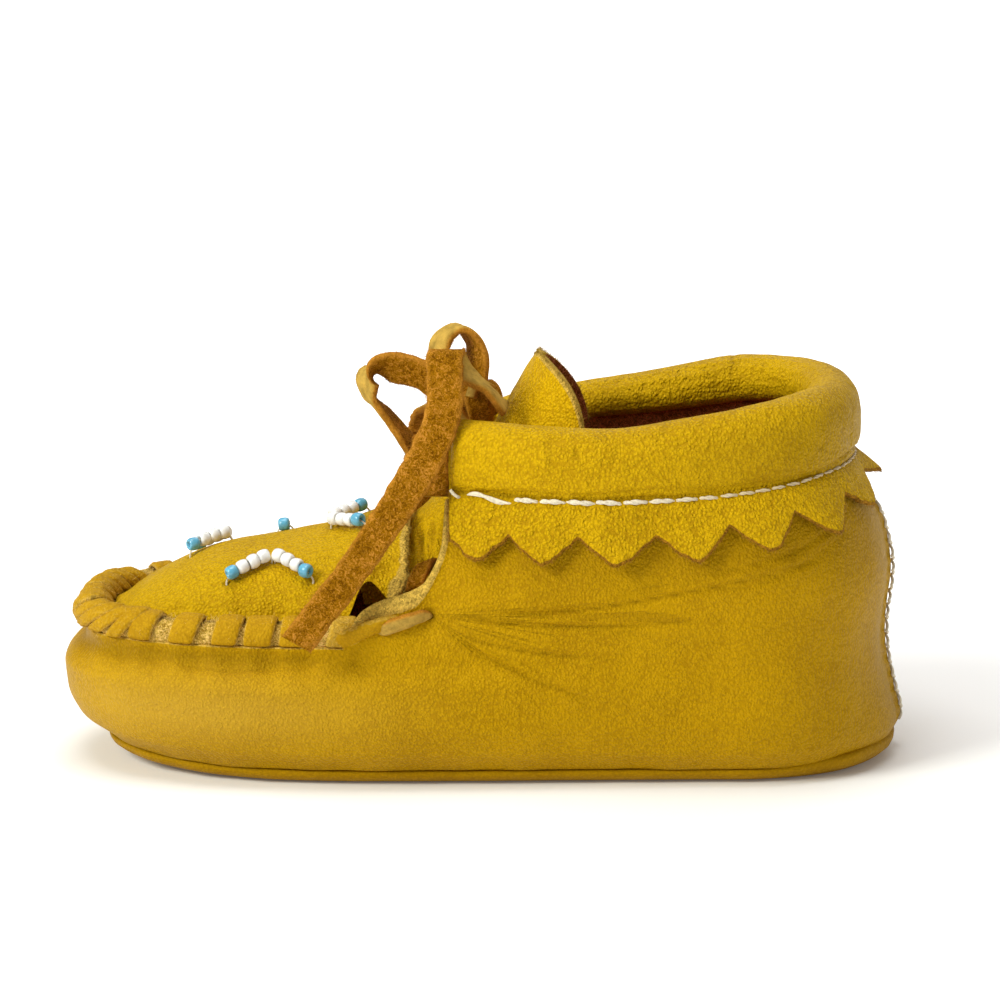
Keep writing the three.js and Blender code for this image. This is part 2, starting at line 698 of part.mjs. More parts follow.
// A row of beads from a little way off a place on the plug, heading along a bearing in plan
function beadRow(x, y, bearing, apart, first, count) {
  const profile = [
    { at: -0.5, radius: BEAD.neck },
    { at: -0.25, radius: BEAD.radius },
    { at: 0.25, radius: BEAD.radius },
    { at: 0.5, radius: BEAD.neck },
  ];
  const angle = THREE.MathUtils.degToRad(bearing);
  const normal = plugNormal(x, y);
  const heading = plugUnder(x + Math.cos(angle), y + Math.sin(angle)).sub(plugUnder(x, y)).normalize();
  const side = heading.clone().cross(normal).normalize();
  const up = side.clone().cross(heading);
  const loops = [];
  for (let i = first; i < first + count; i += 1) {
    const step = apart + (i + 0.5) * BEAD.pitch;
    const middle = plugUnder(x + heading.x * step, y + heading.y * step);
    middle.addScaledVector(plugNormal(middle.x, middle.y), BEAD.radius + BEAD.standoff);
    for (const ring of i > first ? profile.slice(1) : profile) {
      const loop = [];
      for (let j = 0; j < BEAD.sides; j += 1) {
        const turn = 2 * Math.PI * j / BEAD.sides;
        loop.push(middle.clone()
          .addScaledVector(heading, ring.at * (BEAD.pitch - 0.1))
          .addScaledVector(side, ring.radius * Math.cos(turn))
          .addScaledVector(up, ring.radius * Math.sin(turn)));
      }
      loops.push(loop);
    }
  }
  return loft(loops, false);
}

addPiece("outsole", outsole(), COLOURS.sole, 0.9);
addPiece("insole", insole(), COLOURS.insole, 0.95);
addPiece("upper", upper(), COLOURS.leather, 0.75);
addPiece("plug", plug(), COLOURS.plug, 0.75);
addPiece("toe_lacing", toeLacing(), COLOURS.cuff, 0.8);
addPiece("tongue", tongue(), COLOURS.plug, 0.8);
addPiece("collar", collar(), COLOURS.cuff, 0.75);
addPiece("lace_knot", laceKnot(), COLOURS.suede, 0.95);
for (const [name, rows] of Object.entries(LACE_RUNS)) {
  addPiece(name, laceRun(rows), COLOURS.suede, 0.95);
}
const centreBead = beadRow(CENTRE_BEAD.x - BEAD.pitch / 2, CENTRE_BEAD.y, 0, 0, 0, 1);
addPiece("bead_centre", centreBead, COLOURS.blue, 0.2);
for (const chevron of CHEVRONS) {
  for (const [arm, sign] of [["a", -1], ["b", 1]]) {
    const bearing = chevron.bearing + sign * chevron.spread;
    const whites = beadRow(chevron.x, chevron.y, bearing, chevron.apart, 0, BEAD.whites);
    const blue = beadRow(chevron.x, chevron.y, bearing, chevron.apart, BEAD.whites, 1);
    addPiece(`beads_white_${chevron.name}_${arm}`, whites, COLOURS.white, 0.2);
    addPiece(`bead_blue_${chevron.name}_${arm}`, blue, COLOURS.blue, 0.2);
  }
}

export default moccasin;
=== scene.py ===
# Beaded baby moccasin in soft mustard leather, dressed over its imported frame.
# Helper functions work in millimetres: +Z is up, the toe points to -X and the near side to -Y.

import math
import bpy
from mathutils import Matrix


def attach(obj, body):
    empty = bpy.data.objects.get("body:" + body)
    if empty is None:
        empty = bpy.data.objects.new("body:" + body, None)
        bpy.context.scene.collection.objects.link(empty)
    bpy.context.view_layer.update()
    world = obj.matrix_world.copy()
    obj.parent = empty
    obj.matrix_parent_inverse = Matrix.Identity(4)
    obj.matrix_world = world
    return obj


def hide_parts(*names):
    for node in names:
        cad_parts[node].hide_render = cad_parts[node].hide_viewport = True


bl_info = {
    "name": "Beaded Moccasin",
    "version": (1, 0, 0),
    "blender": (4, 5, 0),
    "location": "View3D > Sidebar > Moccasin",
    "description": "Builds a beaded baby moccasin in soft leather over its packed frame",
    "category": "Object",
}

import bpy
import numpy as np
from mathutils import Vector

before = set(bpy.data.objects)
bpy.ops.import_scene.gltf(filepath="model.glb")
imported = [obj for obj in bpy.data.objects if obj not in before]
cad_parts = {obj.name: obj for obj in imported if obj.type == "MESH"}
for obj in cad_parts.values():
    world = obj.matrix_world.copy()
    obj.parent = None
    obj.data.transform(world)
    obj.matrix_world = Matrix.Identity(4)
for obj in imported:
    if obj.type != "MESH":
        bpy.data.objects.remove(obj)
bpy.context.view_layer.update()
MM = 0.001
UP = np.array((0.0, 0.0, 1.0))

# Plan outline of the wall's outer face: height, toe, heel, ball half width, seat half width, bluntness
BALL_X = -14.0
SEAT_X = 36.0
HEEL_ROUND = 2.2
LEVELS = np.array([
    (2.4, -56.6, 61.3, 23.2, 22.2, 2.4),
    (5.6, -60.9, 62.6, 25.8, 24.3, 2.5),
    (10.0, -62.4, 61.6, 27.0, 25.0, 2.6),
    (15.0, -62.6, 60.5, 26.8, 25.0, 2.8),
    (19.2, -61.3, 60.2, 25.2, 24.8, 2.9),
    (28.0, -61.3, 61.0, 25.0, 24.8, 2.9),
    (36.0, -61.3, 59.3, 24.4, 24.0, 2.9),
    (46.0, -61.3, 54.3, 23.6, 22.4, 2.9),
])
LEAN_SHARE, LEAN_LOW, LEAN_HIGH, LEAN_FRONT, LEAN_REAR = 0.36, 20.0, 46.0, -12.0, 18.0
TUCK_DEPTH, TUCK_LOW, TUCK_FULL, TUCK_GONE = 1.5, 14.5, 0.37, 0.45
BACK_RISE, BACK_HALF, BACK_TOP = 0.8, 1.8, 40.0
TOE_EDGE = 19.2
LIP_FOOT = 20.6
UPRIGHT_FROM, UPRIGHT_FULL, UPRIGHT_UNTIL, UPRIGHT_GONE = -22.0, -12.0, 14.0, 44.0
SPRING_FROM, SPRING_TO, SPRING_RISE = -28.0, -57.0, 1.5

# Upper edge of the wall beside the throat: x, z
THROAT = np.array([
    (-20.4, 19.2), (-19.2, 23.6), (-17.7, 26.0), (-14.8, 27.6), (-11.6, 28.5), (-8.6, 29.8), (-7.0, 32.0),
    (-5.8, 35.2), (-5.5, 38.2), (-5.3, 41.4),
])
LACE_HOLE = (-7.4, 26.0)

# Sole and insole rows: height, inset from the wall's lowest outline
SOLE_STEPS = np.array([(0.0, 3.4), (0.12, 2.4), (0.5, 1.3), (1.0, 0.55), (1.5, 0.2), (2.0, 0.1), (2.25, 0.5)])
INSOLE_STEPS = np.array([(2.4, 2.0), (2.9, 1.6), (3.3, 1.5), (3.5, 1.9)])

# Toe seam, plug and tongue
SEAM_TOE, SEAM_HALF, SEAM_BLUNT, SEAM_Z, SEAM_END = -58.4, 21.2, 2.9, 22.2, -17.8
PLUG_TOE, PLUG_REAR, PLUG_HALF, PLUG_EDGE, PLUG_FULLNESS = -55.3, -11.0, 18.1, 22.4, 0.65
PLUG_BACK_X, PLUG_FREE_X, PLUG_BACK_HALF, PLUG_BACK_EDGE = -21.0, -16.5, 18.6, 29.8
PLUG_CORNER_X, PLUG_CORNER_DROP, PLUG_CORNER_FLARE = -13.2, 2.6, 0.9
CREST = np.array([
    (-55.3, 22.4), (-52.0, 25.0), (-46.6, 28.3), (-42.0, 30.4),
    (-37.3, 31.7), (-32.6, 32.5), (-23.3, 34.2), (-11.0, 37.4),
])
TONGUE_LINE = np.array([
    (0.0, -19.5, 32.9), (0.25, -11.0, 35.4), (0.5, -5.8, 40.0), (0.75, 2.0, 50.2), (1.0, 8.4, 61.1),
])
TONGUE_RADIUS, TONGUE_BASE_CURL, TONGUE_TOP_CURL, TONGUE_TIP_CUT = 14.6, 64.0, 88.0, 0.018

# Collar roll: x, lower line, upper line. Cuff: x, notch height, tip height
COLLAR_LINES = np.array([
    (-4.6, 42.0, 53.2), (8.0, 42.2, 52.9), (19.0, 42.3, 52.8), (30.0, 42.7, 54.4),
    (42.0, 44.0, 56.6), (50.0, 45.2, 57.6), (55.0, 45.6, 57.8),
])
COLLAR_Z, COLLAR_INSET, COLLAR_THICK, COLLAR_FRONT = 46.0, 2.1, 4.3, -4.6
CUFF_TEETH, CUFF_START, CUFF_BLUNT = 14.5, 0.22, 0.2
CUFF_STAND, CUFF_FLARE, CUFF_HEEL_FLARE, CUFF_THICK, CUFF_RUN = 0.3, 0.9, 1.8, 1.15, 150.0
CUFF_LINES = np.array([
    (-4.6, 37.0, 33.8), (22.0, 37.5, 33.7), (40.0, 40.4, 36.2), (52.0, 42.6, 39.4), (54.3, 43.6, 42.6),
])
# Share along the cuff, and how far its hand-cut teeth drift from an even count there
CUFF_DRIFT = np.array([
    (0.0, -0.16), (0.2, -0.15), (0.36, 0.12), (0.44, 0.1), (0.5, 0.0), (1.0, 0.0),
])

# Beads: each chevron's point, bearing, spread and how far from the point its arms start
BEAD_PITCH, BEAD_WHITES, BEAD_STANDOFF, CENTRE_STANDOFF = 1.75, 3, 0.3, -0.1
CENTRE_BEAD = (-29.8, 3.6)
CHEVRONS = {
    "near": (-30.9, -9.1, -97.0, 59.0, 0.5),
    "front": (-37.4, 4.8, 180.0, 38.0, 1.0),
    "far": (-30.9, 13.0, 90.0, 78.0, 0.5),
    "rear": (-23.2, -0.8, 0.0, 42.0, 1.0),
}

# Tie lace runs: x, y, z and the way the width lies
LACE_SPACING = 0.45
KNOT_CENTRE = np.array((-1.2, -4.6, 54.0))
KNOT_RADII = np.array((3.9, 3.6, 3.5))
LACE_TIE = [
    (-7.4, -15.4, 41.8, 0.93, 0.1, 0.3),
    (-7.3, -14.2, 45.4, 0.88, 0.1, 0.4),
    (-6.4, -10.0, 47.8, 0.6, 0.1, 0.75),
    (-4.4, -4.0, 48.4, 0.5, 0.04, 0.8),
    (-4.2, 1.6, 48.2, 0.5, -0.04, 0.8),
    (-5.8, 7.2, 47.2, 0.5, -0.12, 0.8),
    (-6.3, 12.0, 44.4, 0.5, -0.2, 0.8),
]
LACE_END_NEAR = [
    (3.4, -9.7, 53.8, 0.1, 0.95, 0.05),
    (0.3, -10.2, 57.2, 0.05, 0.97, 0.0),
    (-2.9, -10.2, 59.6, 0.6, 0.8, 0.1),
    (-4.7, -10.6, 61.5, 1.0, 0.1, 0.0),
    (-5.1, -11.7, 62.4, 1.0, 0.0, 0.0),
    (-5.4, -13.3, 61.6, 1.0, 0.0, 0.0),
    (-5.4, -14.9, 59.2, 1.0, 0.0, 0.0),
    (-5.5, -17.2, 54.8, 0.97, 0.0, -0.05),
    (-7.1, -19.1, 50.2, 0.93, 0.0, -0.2),
    (-10.2, -20.8, 44.8, 0.9, 0.0, -0.28),
    (-14.0, -22.7, 39.2, 0.88, 0.0, -0.33),
    (-19.6, -26.0, 31.4, 0.85, 0.0, -0.4),
    (-23.8, -28.1, 26.4, 0.83, 0.0, -0.48),
    (-26.6, -29.1, 22.8, 0.82, 0.0, -0.55),
]
LACE_BOW = [
    (-6.0, -3.2, 51.8, 0.35, 0.9, -0.1),
    (-7.5, -2.7, 48.6, 0.3, 0.9, -0.2),
    (-8.4, -2.3, 46.4, -0.15, -0.1, -0.95),
    (-10.0, -1.8, 46.2, -0.25, -0.92, -0.3),
    (-12.0, -1.2, 48.5, -0.15, -0.97, -0.1),
    (-14.5, -0.8, 51.6, -0.1, -0.98, 0.0),
    (-16.8, -0.4, 54.2, 0.4, -0.9, 0.0),
    (-17.0, -0.5, 57.0, 0.55, -0.75, 0.25),
    (-15.2, -1.0, 58.4, 0.3, -0.6, 0.7),
    (-12.4, -1.5, 58.5, 0.1, -0.4, 0.9),
    (-9.0, -2.4, 57.7, 0.05, -0.4, 0.9),
    (-5.8, -3.2, 55.8, 0.0, -0.35, 0.93),
    (-2.2, -3.6, 55.6, -0.3, 0.35, 0.85),
    (-0.6, -2.4, 58.2, -0.5, 0.85, 0.0),
    (-0.6, -1.8, 60.4, -0.5, 0.85, 0.0),
    (-1.5, -1.2, 62.9, -0.45, 0.88, 0.0),
    (-3.5, -1.0, 64.3, -0.4, 0.9, 0.0),
    (-5.8, -1.6, 63.1, -0.45, 0.88, 0.0),
    (-6.2, -2.6, 60.8, -0.5, 0.85, 0.0),
    (-4.4, -3.4, 58.6, -0.5, 0.85, 0.0),
]
LACE_END_FAR = [
    (-3.0, 0.4, 52.4, 0.8, 0.1, 0.4),
    (-6.0, 5.6, 51.9, 0.81, 0.08, 0.3),
    (-7.9, 11.0, 49.9, 0.82, 0.06, 0.2),
    (-9.0, 16.6, 45.6, 0.83, 0.05, 0.1),
    (-9.6, 21.6, 39.2, 0.84, 0.04, -0.05),
    (-10.8, 25.6, 31.8, 0.84, 0.02, -0.2),
    (-12.2, 28.2, 22.4, 0.85, 0.0, -0.3),
]

# Main creases of the near wall: x and z of each line, then its depth and half width
CREASES = [
    ([(-6.7, 26.5), (2.7, 26.4), (11.4, 26.5), (21.5, 27.9), (31.6, 29.8), (44.6, 32.5), (57.6, 35.7)],
     0.34, 0.42),
    ([(-6.7, 26.0), (5.6, 24.7), (17.2, 24.5), (28.8, 25.1), (38.0, 26.4)], 0.3, 0.42),
    ([(-6.0, 24.8), (-0.2, 22.2), (7.0, 20.7), (14.3, 19.9), (22.0, 19.6)], 0.3, 0.42),
    ([(-5.3, 24.1), (2.7, 18.9), (11.4, 15.2), (20.1, 12.6)], 0.26, 0.45),
    ([(31.7, 31.8), (40.4, 33.7), (49.1, 36.7), (55.9, 41.8)], 0.24, 0.4),
    ([(30.3, 29.2), (43.3, 31.5), (56.6, 38.9)], 0.22, 0.4),
    ([(-46.1, 18.4), (-37.9, 17.6), (-22.0, 18.9)], 0.2, 0.5),
]

# Wraps of the toe lace on the near side, by the x of their middles
WRAP_MIDDLES = (-20.6, -27.2, -32.3, -37.0, -43.1, -49.0)
WRAPS_ROUND_TOE = 11
WRAP_FROM, WRAP_TO = math.radians(-62), math.radians(228)

# Tails of the toe lace: x, z and stand-off from the wall. Its bend inside the throat: x, y, z
TAIL_FLAT = [
    (-21.4, 21.8, -0.3), (-19.0, 22.9, 0.6), (-16.4, 23.9, 0.8), (-13.8, 24.6, 0.2), (-12.4, 24.9, -0.8),
]
TAIL_TWISTED = [
    (-15.0, 23.6, -0.6), (-13.8, 24.0, 0.6), (-12.2, 24.5, 1.0), (-10.6, 25.0, 1.0), (-9.2, 25.5, 0.7),
    (-7.6, 26.1, -0.8),
]
THROAT_BEND = [
    (-7.2, 14.2, 29.6), (-7.4, 16.4, 31.8), (-8.2, 18.6, 32.2), (-9.2, 19.9, 30.8), (-10.0, 20.3, 28.4),
]


def srgb(red, green, blue):
    """Linear colour of three display values from 0 to 255."""
    values = [channel / 255 for channel in (red, green, blue)]
    return tuple(v / 12.92 if v <= 0.04045 else ((v + 0.055) / 1.055) ** 2.4 for v in values)


def ease(value, low, high):
    """Share of the way from low to high, eased at both ends."""
    share = np.clip((np.asarray(value, float) - low) / (high - low), 0, 1)
    return share * share * (3 - 2 * share)


def bell(distance, width):
    """1 at no distance, falling smoothly towards 0 beyond the width."""
    return np.exp(-(distance / width) ** 2)


def along(rows, at, column=1):
    """Value of one column at a place along the first, without overshoot between the rows."""
    keys, values = rows[:, 0], rows[:, column]
    at = np.clip(at, keys[0], keys[-1])
    slopes = np.diff(values) / np.diff(keys)
    product = slopes[:-1] * slopes[1:]
    total = np.where(product > 0, slopes[:-1] + slopes[1:], 1)
    lean = np.concatenate([slopes[:1], np.where(product > 0, 2 * product / total, 0), slopes[-1:]])
    i = np.clip(np.searchsorted(keys, at, side="right") - 1, 0, len(keys) - 2)
    step = keys[i + 1] - keys[i]
    t = (at - keys[i]) / step
    rise = values[i + 1] - values[i]
    first, last = lean[i] * step, lean[i + 1] * step
    return values[i] + first * t + t * t * (3 * rise - 2 * first - last) + t ** 3 * (first + last - 2 * rise)


def cap(share, power):
    """Half width of a rounded end: 1 where it starts, 0 at its tip."""
    share = np.clip(share, 0, 1)
    return np.maximum(0, 1 - share ** power) ** (1 / power)


def lengths_along(points):
    """Length from the first point of a line to each of its points."""
    steps = np.linalg.norm(np.diff(points, axis=0), axis=1)
    return np.concatenate([[0], np.cumsum(steps)])


def unit(vectors):
    """Vectors scaled to length one."""
    return vectors / np.maximum(np.linalg.norm(vectors, axis=-1, keepdims=True), 1e-9)


def places_of(*parts):
    """Places whose coordinates are the given arrays, each spread to the same shape."""
    return np.stack(np.broadcast_arrays(*parts), -1)


def squared_off(wave, power):
    """A wave raised to a power with its sign kept; a power below one makes it squarer."""
    return np.sign(wave) * np.abs(wave) ** power


def ripple(points, size, seed):
    """Smooth seeded unevenness, about -1 to 1, with humps about size apart."""
    rng = np.random.default_rng(seed)
    total = 0.0
    for _ in range(8):
        way = unit(rng.normal(size=points.shape[-1]))
        pitch = size * rng.uniform(0.7, 1.5)
        total = total + np.sin(points @ way * (2 * math.pi / pitch) + rng.uniform(0, 2 * math.pi))
    return total / 4


def half_width(toe, heel, ball, seat, blunt, x):
    """Half width of a plan outline at x."""
    front = ball * cap((BALL_X - x) / (BALL_X - toe), blunt)
    rear = seat * cap((x - SEAT_X) / (heel - SEAT_X), HEEL_ROUND)
    middle = ball + (seat - ball) * ease(x, BALL_X, SEAT_X)
    return np.where(x < BALL_X, front, np.where(x > SEAT_X, rear, middle))


def toe_lift(x):
    """Lift of the sole at x."""
    share = np.maximum(0, (SPRING_FROM - x) / (SPRING_FROM - SPRING_TO))
    return SPRING_RISE * np.minimum(1.2, share * share)


def wall_point(turn, z):
    """Point on the wall's outer face; turn is 0 at the toe, 1 at the heel by the near side, 2 at the toe."""
    turn, z = np.broadcast_arrays(np.asarray(turn, float), np.asarray(z, float))
    toe, heel, ball, seat, blunt = (along(LEVELS, z, column) for column in range(1, 6))
    way = np.where(turn <= 1, turn, 2 - turn)
    side = np.where(turn <= 1, -1.0, 1.0)
    tuck = TUCK_DEPTH * ease(z, TUCK_LOW, TOE_EDGE) * (1 - ease(way, TUCK_FULL, TUCK_GONE))
    toe, ball = toe + tuck, ball - tuck
    x = toe + (heel - toe) * (1 - np.cos(math.pi * way)) / 2
    lean = ease(z, LEAN_LOW, LEAN_HIGH) * (1 - ease(x, LEAN_FRONT, LEAN_REAR))
    y = side * half_width(toe, heel, ball, seat, blunt, x) * (1 - LEAN_SHARE * lean)
    seam = np.where(way > 0.8, bell(y, BACK_HALF), 0)
    fade = 1 - ease(z, BACK_TOP - 4, BACK_TOP)
    lift = toe_lift(x) * (1 - ease(z, LEVELS[0, 0], TOE_EDGE))
    return np.stack([x + BACK_RISE * seam * fade, y, z + lift], -1)


def wall_normal(turn, z):
    """Outward direction of the wall's outer face."""
    turn, z = np.broadcast_arrays(np.asarray(turn, float), np.asarray(z, float))
    ahead = wall_point((turn + 0.004) % 2, z) - wall_point((turn - 0.004) % 2, z)
    above = wall_point(turn, z + 0.4) - wall_point(turn, z - 0.4)
    return unit(np.cross(ahead, above))


def level_outward(turn, z):
    """Outward direction of the wall, kept level."""
    normal = wall_normal(turn, z)
    normal[..., 2] = 0
    return unit(normal)


def turn_at(x, z):
    """Turn on the near side whose wall stands at x."""
    toe, heel = along(LEVELS, z, 1), along(LEVELS, z, 2)
    return np.arccos(np.clip(1 - 2 * (x - toe) / (heel - toe), -1, 1)) / math.pi


def upright_turn(turn, x, z):
    """Turn that keeps a column of the wall upright beside the throat, as the outline changes with height."""
    way = np.where(turn <= 1, turn, 2 - turn)
    share = ease(x, UPRIGHT_FROM, UPRIGHT_FULL) * (1 - ease(x, UPRIGHT_UNTIL, UPRIGHT_GONE))
    kept = way + (turn_at(x, z) - way) * share
    return np.where(turn <= 1, kept, 2 - kept)


def wall_top(x):
    """Height of the wall's upper edge at x, which meets the lips of the toe seam in front of the throat."""
    beside_throat = along(THROAT, x)
    under_collar = along(COLLAR_LINES, x) - 0.6
    return np.maximum(LIP_FOOT, np.where(x < THROAT[-1, 0], beside_throat, under_collar))


def plug_section(x):
    """Crest height, half width and edge height of the plug at x."""
    rear = ease(x, PLUG_BACK_X, PLUG_FREE_X)
    rounding = np.where(x < BALL_X, cap((BALL_X - x) / (BALL_X - PLUG_TOE), SEAM_BLUNT), 1)
    corner = ease(x, PLUG_FREE_X, PLUG_CORNER_X)
    half = (PLUG_HALF + (PLUG_BACK_HALF - PLUG_HALF) * rear + PLUG_CORNER_FLARE * corner) * rounding
    edge = PLUG_EDGE + (PLUG_BACK_EDGE - PLUG_EDGE) * rear - PLUG_CORNER_DROP * corner
    return along(CREST, x), half, edge


def plug_point(x, share, sunk=0.0):
    """Point on the plug; share runs -1 at the near edge to 1 at the far edge."""
    x, share = np.broadcast_arrays(np.asarray(x, float), np.asarray(share, float))
    crest, half, edge = plug_section(x)
    dome = np.maximum(0, 1 - share * share) ** PLUG_FULLNESS
    y = share * np.maximum(0.4, half - sunk)
    return np.stack([x, y, edge + np.maximum(0, crest - edge - sunk) * dome], -1)


def plug_under(x, y):
    """Point of the plug's outer face under a place in plan."""
    return plug_point(x, y / plug_section(np.asarray(x, float))[1])


def plug_normal(x, y):
    """Outward direction of the plug at a place in plan."""
    ahead = plug_under(x + 0.3, y) - plug_under(x - 0.3, y)
    across = plug_under(x, y + 0.3) - plug_under(x, y - 0.3)
    return unit(np.cross(ahead, across))


def seam_point(way):
    """Centre line of the toe seam; way is 0 at the near end, 0.5 at the toe, 1 at the far end."""
    half = np.abs(way - 0.5) * 2
    side = np.where(way < 0.5, -1.0, 1.0)
    x = SEAM_TOE + (SEAM_END - SEAM_TOE) * (1 - np.cos(math.pi / 2 * half))
    y = side * SEAM_HALF * cap((BALL_X - x) / (BALL_X - SEAM_TOE), SEAM_BLUNT)
    return places_of(x, y, SEAM_Z)


SEAM_FINE = np.linspace(0, 1, 1201)
SEAM_LENGTHS = lengths_along(seam_point(SEAM_FINE))


def seam_frame(share):
    """Centre and outward direction of the toe seam at an even share of its length."""
    way = np.interp(np.clip(share, 0, 1) * SEAM_LENGTHS[-1], SEAM_LENGTHS, SEAM_FINE)
    heading = unit(seam_point(np.minimum(1, way + 0.004)) - seam_point(np.maximum(0, way - 0.004)))
    outward = unit(np.cross(heading, UP))
    return seam_point(way), outward


def seam_share_at(x):
    """Share of the seam's length, from its near end, where the near side stands at x."""
    shares = np.linspace(0, 0.5, 600)
    return float(np.interp(-x, -seam_frame(shares)[0][:, 0], shares))


def tongue_point(way, side, sunk=0.0):
    """Point of the tongue; way is 0 under the plug and 1 at the tip, side runs -1 to 1 round the ankle."""
    way, side = np.broadcast_arrays(np.asarray(way, float), np.asarray(side, float))

    def centre(at):
        at = np.clip(at, 0, 1)
        return np.stack([along(TONGUE_LINE, at), np.zeros_like(at), along(TONGUE_LINE, at, 2)], -1)

    heading = unit(centre(way + 0.02) - centre(way - 0.02))
    inward = np.stack([heading[..., 2], np.zeros_like(way), -heading[..., 0]], -1)
    curl = np.radians(side * (TONGUE_BASE_CURL + (TONGUE_TOP_CURL - TONGUE_BASE_CURL) * way))
    radius = TONGUE_RADIUS - sunk
    point = centre(way) + inward * (sunk + radius * (1 - np.cos(curl)))[..., None]
    point[..., 1] += radius * np.sin(curl)
    return point


def collar_turns(shares):
    """Turns at even shares of the collar's length, from its near front end to its far one."""
    start = float(turn_at(COLLAR_FRONT, COLLAR_Z))
    turns = np.linspace(start, 2 - start, 1601)
    lengths = lengths_along(wall_point(turns, COLLAR_Z))
    return np.interp(np.asarray(shares) * lengths[-1], lengths, turns), lengths[-1]


def cuff_lines(shares):
    """Turns, lower edge, upper line and stand-off from the wall of the pinked cuff."""
    turns, _ = collar_turns(shares)
    place = wall_point(turns, COLLAR_Z)[..., 0]
    tooth = shares * CUFF_TEETH + CUFF_START + along(CUFF_DRIFT, shares)
    saw = (tooth % 1) * 2 - 1
    beat = (np.hypot(saw, CUFF_BLUNT) - CUFF_BLUNT) / (math.hypot(1, CUFF_BLUNT) - CUFF_BLUNT)
    notch, tip = along(CUFF_LINES, place), along(CUFF_LINES, place, 2)
    heel = 1 - ease(np.abs(shares - 0.5) * CUFF_TEETH, 0, 0.5)
    stand = CUFF_STAND + CUFF_FLARE * (1 - beat) + CUFF_HEEL_FLARE * heel
    return turns, tip + (notch - tip) * beat, along(COLLAR_LINES, place), stand


def smooth_run(rows, spacing):
    """Even stations along a smooth curve through rows of x, y, z and any further columns."""
    rows = np.asarray(rows, float)
    padded = np.vstack([2 * rows[0] - rows[1], rows, 2 * rows[-1] - rows[-2]])
    share = np.linspace(0, 1, 40, endpoint=False)[:, None]
    parts = []
    for i in range(len(rows) - 1):
        p0, p1, p2, p3 = padded[i:i + 4]
        steps = (p1 - p0, p2 - p1, p3 - p2)
        d0, d1, d2 = (max(1e-3, np.linalg.norm(step[:3]) ** 0.5) for step in steps)
        lean1 = ((p1 - p0) / d0 - (p2 - p0) / (d0 + d1) + (p2 - p1) / d1) * d1
        lean2 = ((p2 - p1) / d1 - (p3 - p1) / (d1 + d2) + (p3 - p2) / d2) * d1
        parts.append(p1 + lean1 * share + (3 * (p2 - p1) - 2 * lean1 - lean2) * share ** 2
                     + (2 * (p1 - p2) + lean1 + lean2) * share ** 3)
    fine = np.vstack(parts + [rows[-1:]])
    lengths = lengths_along(fine[:, :3])
    stations = np.linspace(0, lengths[-1], max(4, int(lengths[-1] / spacing) + 1))
    return np.stack([np.interp(stations, lengths, fine[:, k]) for k in range(rows.shape[1])], -1)


def line_distance(points, line):
    """Distance of each point in a plane from a bent line, and the share of the line nearest to it."""
    best = np.full(len(points), 1e9)
    share = np.zeros(len(points))
    for i in range(len(line) - 1):
        step = line[i + 1] - line[i]
        t = np.clip(((points - line[i]) @ step) / max(1e-9, step @ step), 0, 1)
        distance = np.linalg.norm(points - line[i] - t[:, None] * step, axis=1)
        nearer = distance < best
        best = np.where(nearer, distance, best)
        share = np.where(nearer, (i + t) / (len(line) - 1), share)
    return best, share


def outer_only(values, loops):
    """Marks of the outer face, with zeros for the rest of each section loop."""
    return np.pad(values, ((0, 0), (0, loops.shape[1] - values.shape[1])))


def placed(name, data):
    """A new object in the scene."""
    thing = bpy.data.objects.new(name, data)
    bpy.context.scene.collection.objects.link(thing)
    return thing


